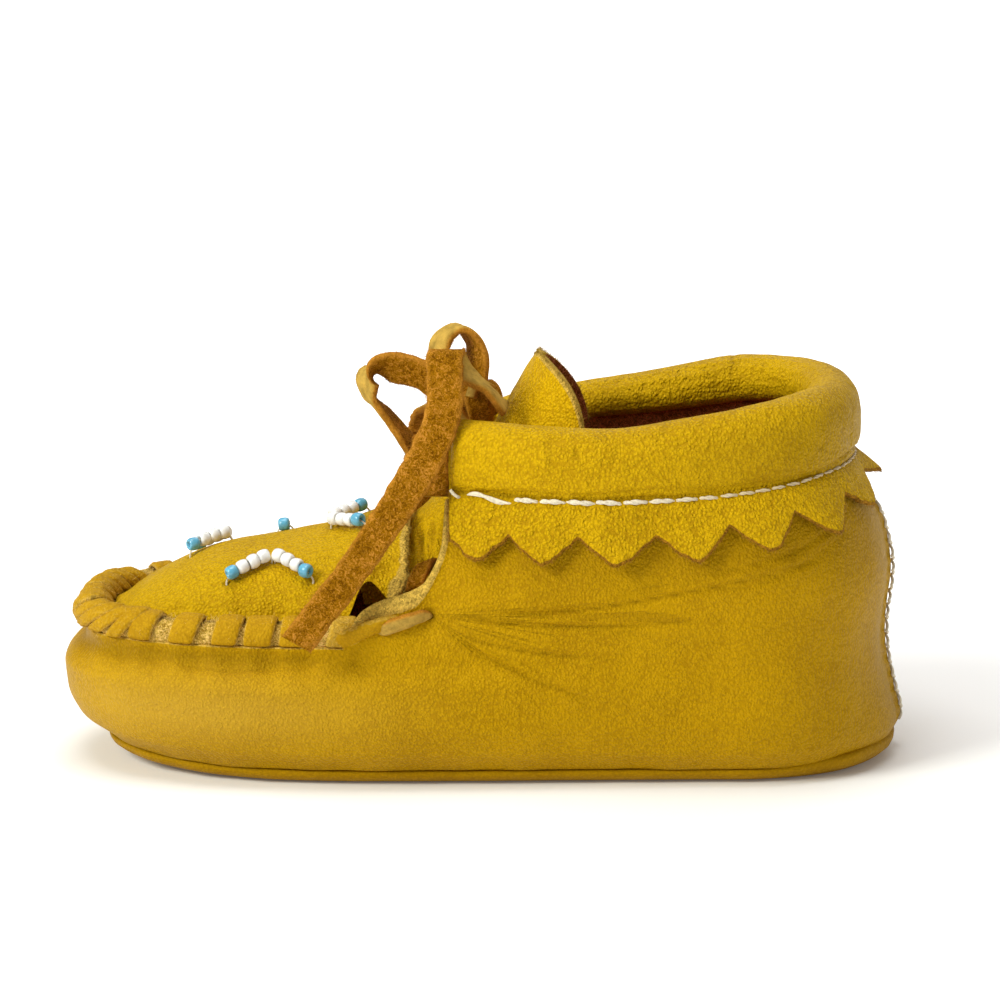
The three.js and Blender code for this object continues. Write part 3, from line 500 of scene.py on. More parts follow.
class Piece:
    """Points and faces gathered from lofted sections and strands, then made into one mesh object."""

    # Marks, in order: cut edges; painted shade in creases, holes, slits, gathers and under other parts; the
    # napped side; hairline folds, painted a little darker as shade; a painted highlight on the bulge of the
    # toe.
    MARKS = ("edge", "crease", "suede", "folded", "worn")

    def __init__(self, name):
        self.name = name
        self.points = []
        self.faces = []
        self.finishes = []
        self.marks = {mark: [] for mark in self.MARKS}
        self.count = 0

    def _keep(self, points, faces, finishes, marks):
        """Adds points and faces with their finishes and marks."""
        self.points.append(points.reshape(-1, 3))
        self.faces.extend(faces)
        self.finishes.extend(finishes)
        for mark in self.MARKS:
            values = np.broadcast_to(np.asarray(marks.get(mark, 0.0), float), points.shape[:-1])
            self.marks[mark].append(values.reshape(-1))
        self.count += points.size // 3

    def loft(self, loops, ring=False, finish=0, **marks):
        """A skin through closed section loops; finish is one number, or one for each place round the loop."""
        stations, around = loops.shape[:2]
        index = np.arange(stations * around).reshape(stations, around)
        following = np.roll(index, -1, axis=0) if ring else index[1:]
        here = index if ring else index[:-1]
        quads = np.stack([here, np.roll(here, -1, 1), np.roll(following, -1, 1), following], -1)
        corners = loops.reshape(-1, 3)[quads.reshape(-1, 4)]
        volume = np.einsum("ij,ij->", corners[:, 0], np.cross(corners[:, 1], corners[:, 2]))
        volume += np.einsum("ij,ij->", corners[:, 0], np.cross(corners[:, 2], corners[:, 3]))
        flip = volume < 0
        quads = quads[..., ::-1] if flip else quads
        faces = (quads.reshape(-1, 4) + self.count).tolist()
        finishes = np.broadcast_to(np.asarray(finish), quads.shape[:2]).reshape(-1).tolist()
        if not ring:
            for cap_loop in (index[0][::-1], index[-1]):
                cap_loop = cap_loop[::-1] if flip else cap_loop
                faces.append((cap_loop + self.count).tolist())
                finishes.append(finishes[0])
        self._keep(loops, faces, finishes, marks)

    def strands(self, paths, radius, sides=6, finish=0, **marks):
        """Thin round strands along paths of shape (strands, stations, 3)."""
        strands, stations = paths.shape[:2]
        radius = np.broadcast_to(np.asarray(radius, float), (strands, stations))
        heading = unit(np.gradient(paths, axis=1))
        helper = np.where(np.abs(heading[..., 2:]) < 0.9, (0.0, 0.0, 1.0), (1.0, 0.0, 0.0))
        across = unit(np.cross(heading, helper))
        up = np.cross(across, heading)
        angle = 2 * math.pi * np.arange(sides) / sides
        offset = across[:, :, None] * np.cos(angle)[:, None] + up[:, :, None] * np.sin(angle)[:, None]
        points = paths[:, :, None] + offset * radius[:, :, None, None]
        index = np.arange(strands * stations * sides).reshape(strands, stations, sides) + self.count
        here, following = index[:, :-1], index[:, 1:]
        corners = [here, following, np.roll(following, -1, 2), np.roll(here, -1, 2)]
        quads = np.stack(corners, -1).reshape(-1, 4)
        faces = quads.tolist() + index[:, 0].tolist() + index[:, -1, ::-1].tolist()
        marks = {mark: np.broadcast_to(np.asarray(value, float), (strands, stations))[..., None]
                 for mark, value in marks.items()}
        self._keep(points, faces, [finish] * len(faces), marks)

    def make(self, finishes, slot, *nodes):
        """The mesh object, with its finishes, riding on the shoe and standing for its frame nodes."""
        mesh = bpy.data.meshes.new(self.name)
        mesh.from_pydata((np.vstack(self.points) * MM).tolist(), [], self.faces)
        for mark in self.MARKS:
            values = np.concatenate(self.marks[mark])
            if np.any(values):
                layer = mesh.attributes.new(mark, "FLOAT", "POINT")
                layer.data.foreach_set("value", values)
        for material in finishes:
            mesh.materials.append(material)
        mesh.polygons.foreach_set("material_index", self.finishes)
        mesh.polygons.foreach_set("use_smooth", [True] * len(mesh.polygons))
        mesh.update()
        piece = placed(self.name, mesh)
        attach(piece, "root")
        if nodes:
            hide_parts(*nodes)
        return piece


class Finish:
    """Adds the nodes of one procedural finish."""

    def __init__(self, name):
        self.material = bpy.data.materials.new(name)
        self.material.use_nodes = True
        self.tree = self.material.node_tree
        self.shader = self.tree.nodes["Principled BSDF"]
        metres = self.node("ShaderNodeTexCoord").outputs["Object"]
        self.place = self.stretched(1000, 1000, 1000, metres)

    def node(self, kind, inputs=None, **settings):
        """A new node with its settings and inputs."""
        node = self.tree.nodes.new(kind)
        for name, value in settings.items():
            setattr(node, name, value)
        for name, value in (inputs or {}).items():
            self.feed(node.inputs[name], value)
        return node

    def feed(self, socket, value):
        """Links an input to another node, or sets its value."""
        if isinstance(value, bpy.types.NodeSocket):
            self.tree.links.new(value, socket)
        elif socket.type == "RGBA":
            socket.default_value = (*value[:3], 1.0)
        else:
            socket.default_value = value

    def set(self, **values):
        """Feeds the shader's inputs by their names."""
        for name, value in values.items():
            self.feed(self.shader.inputs[name.replace("_", " ")], value)

    def stretched(self, x, y, z, place=None):
        """The place scaled along x, y and z."""
        inputs = {"Vector": place or self.place, "Scale": (x, y, z)}
        return self.node("ShaderNodeMapping", inputs).outputs["Vector"]

    def vector(self, operation, *values):
        """Result of one operation on vectors."""
        node = self.node("ShaderNodeVectorMath", dict(enumerate(values)), operation=operation)
        return node.outputs["Value" if operation == "LENGTH" else "Vector"]

    def fanned(self, x, z):
        """Places that run round a point of the side and only slowly away from it, so noise there fans out."""
        away = self.vector("SUBTRACT", self.place, (x, 0.0, z))
        parts = self.node("ShaderNodeSeparateXYZ", {0: away}).outputs
        angle = self.math("ARCTAN2", parts["Z"], parts["X"])
        reach = self.math("POWER", self.vector("LENGTH", away), 0.5)
        spots = {0: self.math("MULTIPLY", angle, 24.0), 1: self.math("MULTIPLY", reach, 0.9), 2: parts["Y"]}
        lengthwise = self.node("ShaderNodeCombineXYZ", spots).outputs[0]
        return self.stretched(1.0, 1.0, 0.02, lengthwise)

    def wandering(self, size, amount):
        """The place moved about by soft noise, so that a pattern on it isn't regular."""
        drift = self.node("ShaderNodeTexNoise", {"Vector": self.place, "Scale": 1 / size, "Detail": 2.0})
        return self.vector("MULTIPLY_ADD", drift.outputs["Color"], (amount, amount, amount), self.place)

    def noise(self, size, detail=3.0, roughness=0.55, place=None, twist=0.0):
        """Cloudy noise with spots about size apart, in millimetres."""
        values = {"Vector": place or self.place, "Scale": 1 / size, "Detail": detail, "Roughness": roughness,
                  "Distortion": twist}
        return self.node("ShaderNodeTexNoise", values).outputs["Fac"]

    def cells(self, size, place):
        """Distance to the nearest of scattered points about size apart."""
        return self.node("ShaderNodeTexVoronoi", {"Vector": place, "Scale": 1 / size}).outputs["Distance"]

    def math(self, operation, first, second):
        """Result of one operation on two values."""
        return self.node("ShaderNodeMath", {0: first, 1: second}, operation=operation).outputs[0]

    def mixed(self, *parts):
        """Sum of values, each taken by its weight."""
        total, *rest = [self.math("MULTIPLY", value, weight) for value, weight in parts]
        for part in rest:
            total = self.math("ADD", total, part)
        return total

    def mark(self, name):
        """A mark kept in the mesh."""
        return self.node("ShaderNodeAttribute", attribute_name=name).outputs["Fac"]

    def span(self, value, low, high, to_low=0.0, to_high=1.0):
        """A value taken from one range to another."""
        inputs = {"Value": value, "From Min": low, "From Max": high, "To Min": to_low, "To Max": to_high}
        return self.node("ShaderNodeMapRange", inputs).outputs["Result"]

    def ramp(self, value, stops):
        """Colour of a value, between stops of position and colour."""
        node = self.node("ShaderNodeValToRGB", {"Fac": value})
        elements = node.color_ramp.elements
        while len(elements) < len(stops):
            elements.new(0.5)
        for element, (position, colour) in zip(elements, stops):
            element.position = position
            element.color = (*colour[:3], 1.0)
        return node.outputs["Color"]

    def blend(self, share, first, second):
        """The second colour laid over the first by a share."""
        return self.node("ShaderNodeMix", {0: share, 6: first, 7: second}, data_type="RGBA").outputs[2]

    def bump(self, height, depth, under=None):
        """Surface direction bent by a height, with its depth in millimetres."""
        values = {"Height": height, "Distance": depth * MM, "Strength": 1.0}
        if under is not None:
            values["Normal"] = under
        return self.node("ShaderNodeBump", values).outputs["Normal"]


def shaded(colour, factor):
    """A colour made darker or lighter."""
    return tuple(min(1.0, channel * factor) for channel in colour[:3])


def warmed(colour, amount):
    """A colour turned towards brown."""
    return (colour[0], colour[1] * (1 - 0.3 * amount), colour[2] * (1 - amount))


def raw_hide(finish, raw):
    """Colour of a cut, fuzzy edge."""
    tone = finish.noise(0.55, 4, 0.65, twist=1.2)
    return finish.ramp(tone, [(0.34, shaded(raw, 0.55)), (0.5, raw), (0.66, shaded(raw, 1.5))])


def leather(name, colour, raw, grain, relief, gloss, folded=None):
    """Grain leather: mottled dye with painted shade in the grooves between pebbles, soft pebbles, hairline
    folds where marked, painted shade in creases, a painted highlight where marked, and cut edges.

    grain and relief are the pebbles' size and depth; folded is the hairlines' stretch along x, y and z,
    or the x and z of the point they fan out from, and then their depth.
    """
    f = Finish(name)
    drawn_out = f.stretched(1, 1, 0.8, f.wandering(grain * 2.2, grain * 0.8))
    pebble = f.span(f.cells(grain, drawn_out), 0.12, 0.72, 1.0, 0.0)
    height = f.mixed((pebble, 0.6), (f.noise(grain * 0.6, 3, 0.65), 0.6))
    # Painted shade: the pebbles' height darkens the colour in the grooves and lightens the tops, mixed with
    # random mottle; its strength grows with the relief.
    tone = f.mixed((f.noise(14, 3, 0.55), 0.35), (f.noise(grain * 2.6, 3, 0.6), 0.3), (height, 0.4))
    contrast = 0.1 + 0.36 * relief
    dark = warmed(shaded(colour, 1 - contrast), contrast)
    dye_and_shade = f.ramp(tone, [(0.42, dark), (0.54, colour), (0.66, shaded(colour, 1 + 0.7 * contrast))])
    normal = f.bump(height, relief)
    normal = f.bump(f.noise(grain * 6, 3, 0.6), relief * 1.6, normal)
    if folded:
        *stretch, depth = folded
        hairline = f.noise(1.0, 2, 0.5, f.fanned(*stretch) if len(stretch) == 2 else f.stretched(*stretch))
        broken = f.math("MULTIPLY", f.mark("folded"), f.span(f.noise(7.0, 2), 0.36, 0.6, 0.25, 1.0))
        folds = f.math("MULTIPLY", f.span(hairline, 0.33, 0.46, 1.0, 0.0), broken)
        # Painted shade: the hairline folds are darkened as well as sunk.
        dye_and_shade = f.blend(f.math("MULTIPLY", folds, 0.4), dye_and_shade, warmed(shaded(colour, 0.5), 0.3))
        normal = f.bump(folds, -depth, normal)
    # Painted highlight: a paler, yellower colour laid where the toe's bulge is marked.
    painted_highlight = (min(1.0, colour[0] * 1.3), min(1.0, colour[1] * 1.42), colour[2] + 0.04)
    dye_and_shade = f.blend(f.mark("worn"), dye_and_shade, painted_highlight)
    # Painted shade: where the shade mark is set the colour goes to a dark brown.
    dye_and_shade = f.blend(f.math("MULTIPLY", f.mark("crease"), 0.75), dye_and_shade, warmed(shaded(colour, 0.3), 0.3))
    edge = f.span(f.math("ADD", f.mark("edge"), f.span(f.noise(0.5), 0, 1, -0.25, 0.25)), 0.35, 0.65)
    dull = f.math("ADD", f.mark("edge"), f.span(pebble, 0.0, 1.0, 0.2, 0.0))
    f.set(Base_Color=f.blend(edge, dye_and_shade, raw_hide(f, raw)), Roughness=f.span(dull, 0, 1, gloss, gloss + 0.35),
          Normal=normal, Specular_IOR_Level=0.22, Specular_Tint=(1.0, 0.78, 0.2))
    return f.material


def suede(name, colour, smooth_side=None):
    """Napped flesh side; with smooth_side, the unmarked faces show the grain side instead."""
    f = Finish(name)
    cloud = f.noise(4.0, 4, 0.62)
    nap = f.noise(0.55, 4, 0.62, twist=1.6)
    tone = f.mixed((cloud, 0.25), (nap, 0.75))
    pale = (min(1.0, colour[0] * 1.75), min(1.0, colour[1] * 1.8), min(1.0, colour[2] * 3 + 0.03))
    napped = f.ramp(tone, [(0.4, warmed(shaded(colour, 0.48), 0.5)), (0.5, colour), (0.61, pale)])
    napped = f.blend(f.mark("edge"), napped, pale)
    height = f.mixed((nap, 0.9), (f.noise(0.2, 3), 0.3))
    base = napped
    if smooth_side:
        stops = [(0.32, shaded(smooth_side, 0.7)), (0.5, smooth_side), (0.68, shaded(smooth_side, 1.2))]
        base = f.blend(f.mark("suede"), f.ramp(f.noise(1.6, 4, 0.65), stops), napped)
    # Painted shade: where the shade mark is set the nap goes dark.
    base = f.blend(f.math("MULTIPLY", f.mark("crease"), 0.8), base, shaded(colour, 0.3))
    f.set(Base_Color=base, Roughness=f.span(cloud, 0.3, 0.7, 0.85, 0.98), Normal=f.bump(height, 0.4),
          Specular_IOR_Level=0.1, Specular_Tint=(1.0, 0.8, 0.4))
    return f.material


def thread_finish(name, colour):
    """Twisted sewing thread."""
    f = Finish(name)
    tone = f.ramp(f.noise(0.5, 3), [(0.3, shaded(colour, 0.75)), (0.6, colour)])
    # Painted shade: the shade mark darkens the thread towards this dim brown.
    thread_shade = (colour[0] * 0.55, colour[1] * 0.42, colour[2] * 0.2)
    f.set(Base_Color=f.blend(f.mark("crease"), tone, thread_shade), Roughness=0.75, Sheen_Weight=0.2,
          Normal=f.bump(f.noise(0.12, 3), 0.04), Specular_IOR_Level=0.25)
    return f.material


def bead_glass(name, colour):
    """Opaque pressed glass, glossy, with slight unevenness."""
    f = Finish(name)
    tone = f.ramp(f.noise(1.2, 2), [(0.35, shaded(colour, 0.88)), (0.65, shaded(colour, 1.08))])
    f.set(Base_Color=tone, Roughness=0.16, Normal=f.bump(f.noise(0.7, 2), 0.03), Specular_IOR_Level=0.5,
          Coat_Weight=0.3, Coat_Roughness=0.08, Subsurface_Weight=0.12, Subsurface_Scale=0.0006,
          Subsurface_Radius=(1.0, 1.0, 1.0))
    return f.material


def floor_finish(name, colour):
    """Plain pale paper that glows as painted light, dimly near the shoe and more away from it."""
    f = Finish(name)
    paper = f.ramp(f.noise(60, 2), [(0.4, shaded(colour, 0.985)), (0.6, colour)])
    reach = f.vector("LENGTH", f.place)
    # Painted light: the floor glows more the further a place is from the shoe.
    glow = f.math("ADD", f.span(reach, 66, 170, 0.06, 0.5), f.span(reach, 300, 1500, 0.0, 0.6))
    f.set(Base_Color=paper, Roughness=0.9, Specular_IOR_Level=0.1, Emission_Color=(1.0, 1.0, 1.0),
          Emission_Strength=glow)
    return f.material


def colour_property(name, description, value):
    """A colour setting, given in display values from 0 to 255."""
    return bpy.props.FloatVectorProperty(name=name, description=description, default=srgb(*value), size=3,
                                         subtype="COLOR", min=0.0, max=1.0)


def length_property(name, description, millimetres):
    """A length setting, given in millimetres."""
    return bpy.props.FloatProperty(name=name, description=description, default=millimetres * MM, min=0.0,
                                   subtype="DISTANCE", unit="LENGTH", precision=5)


class MoccasinSizes(bpy.types.PropertyGroup):
    """Sizes of the shoe's pieces that a user would change."""

    hide: length_property("Hide", "Thickness of the leather", 1.4)
    lace_width: length_property("Lace width", "Width of the flat tie lace", 5.0)
    lace_thick: length_property("Lace thickness", "Thickness of the flat tie lace", 1.3)
    wrap_width: length_property("Wrap width", "Width of each wrap of the toe lace", 3.6)
    bead_radius: length_property("Bead radius", "Radius of one seed bead", 1.05)
    stitch: length_property("Stitch length", "Length of the longer stitches below the collar", 3.9)
    thread: length_property("Thread", "Radius of one ply of the sewing thread", 0.25)
    # Scales the creases' depth and the painted shade along them.
    crease: bpy.props.FloatProperty(
        name="Crease depth", description="Depth of the creases against the worn shoe", default=1.0,
        min=0.0, max=2.0, subtype="FACTOR")


class MoccasinColours(bpy.types.PropertyGroup):
    """Colours of the shoe's finishes that a user would change."""

    wall: colour_property("Wall", "Grain side of the wall", (180, 137, 0))
    plug: colour_property("Plug", "Grain side of the plug and tongue", (194, 153, 4))
    cuff: colour_property("Cuff", "Grain side of the collar roll and cuff", (198, 156, 4))
    wrap: colour_property("Wraps", "Grain side of the toe lace", (180, 136, 14))
    raw: colour_property("Cut edge", "Fuzzy cut edges", (194, 158, 68))
    cut: colour_property("Cuff edge", "Cut edges of the pinked cuff", (150, 104, 24))
    suede: colour_property("Lace suede", "Napped side of the tie lace", (158, 105, 4))
    smooth: colour_property("Lace grain", "Smooth side of the tie lace", (196, 158, 72))
    lining: colour_property("Lining", "Flesh side inside the shoe", (168, 98, 44))
    sole: colour_property("Sole", "Sole leather", (168, 126, 2))
    thread: colour_property("Thread", "Sewing thread", (232, 222, 198))
    white_bead: colour_property("White beads", "White seed beads", (238, 238, 236))
    blue_bead: colour_property("Blue beads", "Blue seed beads", (98, 172, 204))
    floor: colour_property("Floor", "Floor under the shoe", (246, 246, 245))


def sizes():
    """The scene's size settings."""
    return bpy.context.scene.moccasin_sizes


def colours():
    """The scene's colour settings."""
    return bpy.context.scene.moccasin_colours


class MOCCASIN_OT_stage(bpy.types.Operator):
    """Pale floor, soft studio lights and the camera"""

    bl_idname = "moccasin.stage"
    bl_label = "Floor, Lights and Camera"

    TARGET = (0.0027, 0.0, 0.0381)
    DISTANCE = 0.6
    RAISED = math.radians(11.5)
    LENS, SENSOR = 143.8, 36.0
    LIT_PLACE = (0.0, 0.0, 0.03)
    FLOOR_REACH = 6.0
    BACKDROP, BACKDROP_STRENGTH = (1.0, 0.95, 0.88, 1.0), 0.26
    # Name, place, size, power and tint of each light
    LIGHTS = (
        ("key_light", (-0.76, -0.52, 0.62), 0.42, 9.8, (0.97, 1.0, 0.93)),
        ("top_light", (-0.1, -0.05, 1.0), 0.6, 5.4, (1.0, 1.0, 1.0)),
        ("fill_light", (0.8, -0.5, 0.35), 0.8, 0.5, (1.0, 0.95, 0.88)),
        ("back_light", (0.3, 0.8, 0.7), 0.8, 2.4, (1.0, 1.0, 1.0)),
    )

    def execute(self, context):
        self.add_floor()
        for light in self.LIGHTS:
            self.add_light(*light)
        world = bpy.data.worlds.new("studio")
        world.use_nodes = True
        backdrop = world.node_tree.nodes["Background"]
        backdrop.inputs["Color"].default_value = self.BACKDROP
        backdrop.inputs["Strength"].default_value = self.BACKDROP_STRENGTH
        context.scene.world = world
        context.scene.view_settings.view_transform = "Standard"
        self.add_camera(context)
        return {"FINISHED"}

    def add_floor(self):
        """A wide flat floor."""
        mesh = bpy.data.meshes.new("floor")
        reach = self.FLOOR_REACH
        corners = [(-reach, -reach, 0), (reach, -reach, 0), (reach, reach, 0), (-reach, reach, 0)]
        mesh.from_pydata(corners, [], [(0, 1, 2, 3)])
        mesh.materials.append(floor_finish("pale_floor", colours().floor))
        floor = placed("floor", mesh)

    def add_light(self, name, place, size, power, tint):
        """One square light turned towards the shoe."""
        lamp = bpy.data.lights.new(name, "AREA")
        lamp.energy = power
        lamp.color = tint
        lamp.size = size
        light = placed(name, lamp)
        light.location = place
        self.aim(light, self.LIT_PLACE)

    def add_camera(self, context):
        """The camera, before the near side and looking down a little."""
        lens = bpy.data.cameras.new("photo_camera")
        lens.lens = self.LENS
        lens.sensor_width = self.SENSOR
        camera = placed("photo_camera", lens)
        back = self.DISTANCE * math.cos(self.RAISED)
        up = self.DISTANCE * math.sin(self.RAISED)
        camera.location = (self.TARGET[0], self.TARGET[1] - back, self.TARGET[2] + up)
        self.aim(camera, self.TARGET)
        context.scene.camera = camera

    def aim(self, thing, target):
        """Turns a light or camera towards a place."""
        way = Vector(target) - Vector(thing.location)
        thing.rotation_euler = way.to_track_quat("-Z", "Y").to_euler()


def fuzz(piece, roots, ways, count, reach, seed, thick=0.022, finish=0, **marks):
    """Loose curling fibres standing out of a cut or napped place."""
    rng = np.random.default_rng(seed)
    roots, ways = roots.reshape(-1, 3), ways.reshape(-1, 3)
    pick = rng.integers(0, len(roots), count)
    root = roots[pick] + rng.normal(0, 0.1, (count, 3))
    way = unit(ways[pick] + rng.normal(0, 0.8, (count, 3)))
    length = reach * rng.uniform(0.25, 1.0, (count, 1))
    bend = rng.normal(0, 0.45, (count, 3)) * length
    paths = np.stack([root + way * length * t + bend * t * t for t in (0.0, 0.5, 1.0)], 1)
    taper = np.array((1.0, 0.8, 0.35))
    piece.strands(paths, taper * thick, 3, finish=finish, **marks)


def lace_material():
    """The tie lace's finish, made once."""
    name = "lace_suede"
    found = bpy.data.materials.get(name)
    return found or suede(name, colours().suede, colours().smooth)


def ribbon(piece, rows, napped_side, seed, width=None, thick=None, tip=0.0, finish=0, fuzzy=1.0,
           narrowing=0.0, slimmer=0.0):
    """A flat thong along rows of x, y, z and its width's direction; returns its centre line.

    tip slants its end, narrowing draws in both ends and slimmer its later half; fuzzy is its share of fibres.
    """
    width = width or sizes().lace_width / MM
    thick = thick or sizes().lace_thick / MM
    run = smooth_run(rows, LACE_SPACING)
    centre = run[:, :3]
    heading = unit(np.gradient(centre, axis=0))
    across = run[:, 3:6] - heading * np.sum(run[:, 3:6] * heading, -1, keepdims=True)
    side = unit(across)
    face = np.cross(side, heading)
    columns = 9
    far_edge, near_edge = columns, 2 * columns + 2
    flat = np.linspace(-1, 1, columns)
    u = np.concatenate([flat, [1.06, 1.06], flat[::-1], [-1.06, -1.06]])
    v = np.concatenate([np.ones(columns), [0.45, -0.45], -np.ones(columns), [-0.45, 0.45]])
    v = v * (1 - 0.28 * np.abs(np.clip(u, -1, 1)) ** 4)
    length = np.linspace(0, 1, len(run))[:, None] * np.ones_like(u)
    place = places_of(length * len(run) * LACE_SPACING, u * 3)
    edges = 1 + 0.06 * ripple(place, 5.0, seed) + 0.03 * ripple(place, 1.6, seed + 1)
    relief = 0.09 * ripple(place, 2.6, seed + 2)
    bow = 0.12 * (u * u - 0.4) * napped_side
    half = width / 2 * edges * u * (1 - narrowing * np.abs(2 * length - 1) ** 3)
    half = half * (1 - slimmer * ease(length, 0.45, 0.8))
    lift = thick / 2 * v + (relief + bow) * np.ones_like(length)
    slant = tip * u * width / 2 * ease(length, 0.9, 1.0)
    loops = centre[:, None] + side[:, None] * half[..., None] + face[:, None] * lift[..., None]
    loops = loops + heading[:, None] * slant[..., None]
    napped = np.where(v * napped_side > 0.3, 1.0, np.where(np.abs(u) > 1.0, 1.0, 0.0))
    worn = np.where(np.abs(u) > 0.9, 0.35, 0.0) * (1 - napped)
    frayed = 0.5 * ease(np.abs(u) + 0.08 * ripple(place, 0.9, seed + 5), 0.86, 1.04)
    napped = np.broadcast_to(np.maximum(napped, worn), length.shape)
    piece.loft(loops, finish=finish, suede=napped, edge=frayed)
    if fuzzy:
        count = int(len(run) * fuzzy)
        nap = loops[:, :columns] if napped_side > 0 else loops[:, far_edge + 2:near_edge]
        stand = np.broadcast_to(face[:, None] * napped_side, nap.shape)
        rims = np.stack([loops[:, far_edge], loops[:, near_edge]])
        fuzz(piece, rims, np.stack([side, -side]), count * 9, 0.6, seed + 3, 0.018, finish,
             suede=1.0, edge=0.8)
        fuzz(piece, nap, stand * 0.4, count * 12, 0.5, seed + 4, 0.02, finish, suede=1.0, edge=0.35)
    return centre


class MOCCASIN_OT_laces(bpy.types.Operator):
    """Tie lace: the knot, its two loops, its two ends and the bar across the tongue"""

    bl_idname = "moccasin.laces"
    bl_label = "Tie Lace"

    KNOT_BAND, KNOT_BAND_THICK, KNOT_CORE = 3.4, 1.2, 0.66
    # Tilt, lead, start, napped side and seed of each band of the knot
    BANDS = ((0.2, 0.5, 0.3, -1, 51), (1.1, -0.35, 1.9, -1, 52), (-0.8, 0.3, 3.4, 1, 53))

    def execute(self, context):
        knot = self.knot().make([lace_material()], "suede", "lace_knot")
        bow = self.lace("tie_bow", LACE_BOW, -1, 11, ["lace_loop_left", "lace_loop_top"])
        near = self.lace("tie_end_near", LACE_END_NEAR, -1, 23, ["lace_end_near"], tip=-0.12, slimmer=0.12)
        far = self.lace("tie_end_far", LACE_END_FAR, -1, 37, ["lace_end_far"], tip=0.12)
        self.lace("tie_bar", LACE_TIE, 1, 41, ["lace_tie"])
        return {"FINISHED"}

    def lace(self, name, rows, napped_side, seed, nodes, **shape):
        """One run of the lace as a piece, and its centre line."""
        piece = Piece(name)
        centre = ribbon(piece, rows, napped_side, seed, **shape)
        return piece.make([lace_material()], "suede", *nodes), centre

    def knot(self):
        """Bands of lace drawn tight round each other."""
        piece = Piece("tie_knot")
        turns = np.linspace(0, 1, 14)
        for tilt, lead, start, napped_side, seed in self.BANDS:
            angle = start + turns * 2 * math.pi * 0.9
            circle = np.stack([lead * 3 * (turns - 0.5), np.cos(angle), np.sin(angle)], -1)
            cosine, sine = math.cos(tilt), math.sin(tilt)
            turn = np.array([(cosine, -sine, 0), (sine, cosine, 0), (0, 0, 1)])
            places = KNOT_CENTRE + (circle @ turn.T) * KNOT_RADII * 0.78
            width = np.broadcast_to(turn @ np.array((1.0, 0.0, 0.0)), places.shape)
            rows = np.hstack([places, width])
            ribbon(piece, rows, napped_side, seed, self.KNOT_BAND, self.KNOT_BAND_THICK)
        # A core inside the bands, painted dark as shade.
        polar = np.linspace(0.04, math.pi - 0.04, 15)[:, None]
        lap = np.linspace(0, 2 * math.pi, 24, endpoint=False)[None]
        ball = places_of(np.cos(polar), np.sin(polar) * np.cos(lap), np.sin(polar) * np.sin(lap))
        piece.loft(KNOT_CENTRE + ball * KNOT_RADII * self.KNOT_CORE, suede=1.0, crease=1.0)
        return piece


class MOCCASIN_OT_sole(bpy.types.Operator):
    """Outsole and insole"""

    bl_idname = "moccasin.sole"
    bl_label = "Outsole and Insole"

    def execute(self, context):
        outsole = Piece("sole_leather")
        outsole.loft(self.heel_bulge(np.stack([self.outline(inset, z) for z, inset in SOLE_STEPS])))
        c = colours()
        outsole.make([leather("sole_grain", c.sole, c.raw, 0.4, 0.08, 0.6)], "sole_hide", "outsole")
        insole = Piece("insole_leather")
        insole.loft(np.stack([self.outline(inset, z) for z, inset in INSOLE_STEPS]))
        insole.make([suede("insole_suede", c.lining)], "inner_hide", "insole")
        return {"FINISHED"}

    def heel_bulge(self, loops):
        """The sole drawn a little up and out round the heel."""
        share = ease(loops[..., 0], 40, 58)
        height = loops[..., 2] / SOLE_STEPS[-1, 0]
        away = loops * (1, 1, 0) - np.array((SEAT_X, 0.0, 0.0))
        loops = loops + unit(away) * (1.2 * share * np.minimum(1, 0.5 + height))[..., None]
        loops[..., 2] *= 1 + 0.7 * share
        return loops

    def outline(self, inset, z):
        """Flat outline a little inside the wall's lowest edge, the near side first."""
        _, toe, heel, ball, seat, blunt = LEVELS[0]
        toe, heel, ball, seat = toe + inset, heel - inset, ball - inset, seat - inset
        count = 160
        way = (np.arange(count) + 0.5) / count
        x = toe + (heel - toe) * (1 - np.cos(math.pi * way)) / 2
        y = half_width(toe, heel, ball, seat, blunt, x)
        near = np.stack([x, -y, z + toe_lift(x)], -1)
        loop = np.vstack([near, (near * (1, -1, 1))[::-1]])
        loop[:, :2] += 0.12 * ripple(loop, 7.0, 61)[:, None] * np.sign(loop[:, :2]) * min(1.0, z)
        return loop


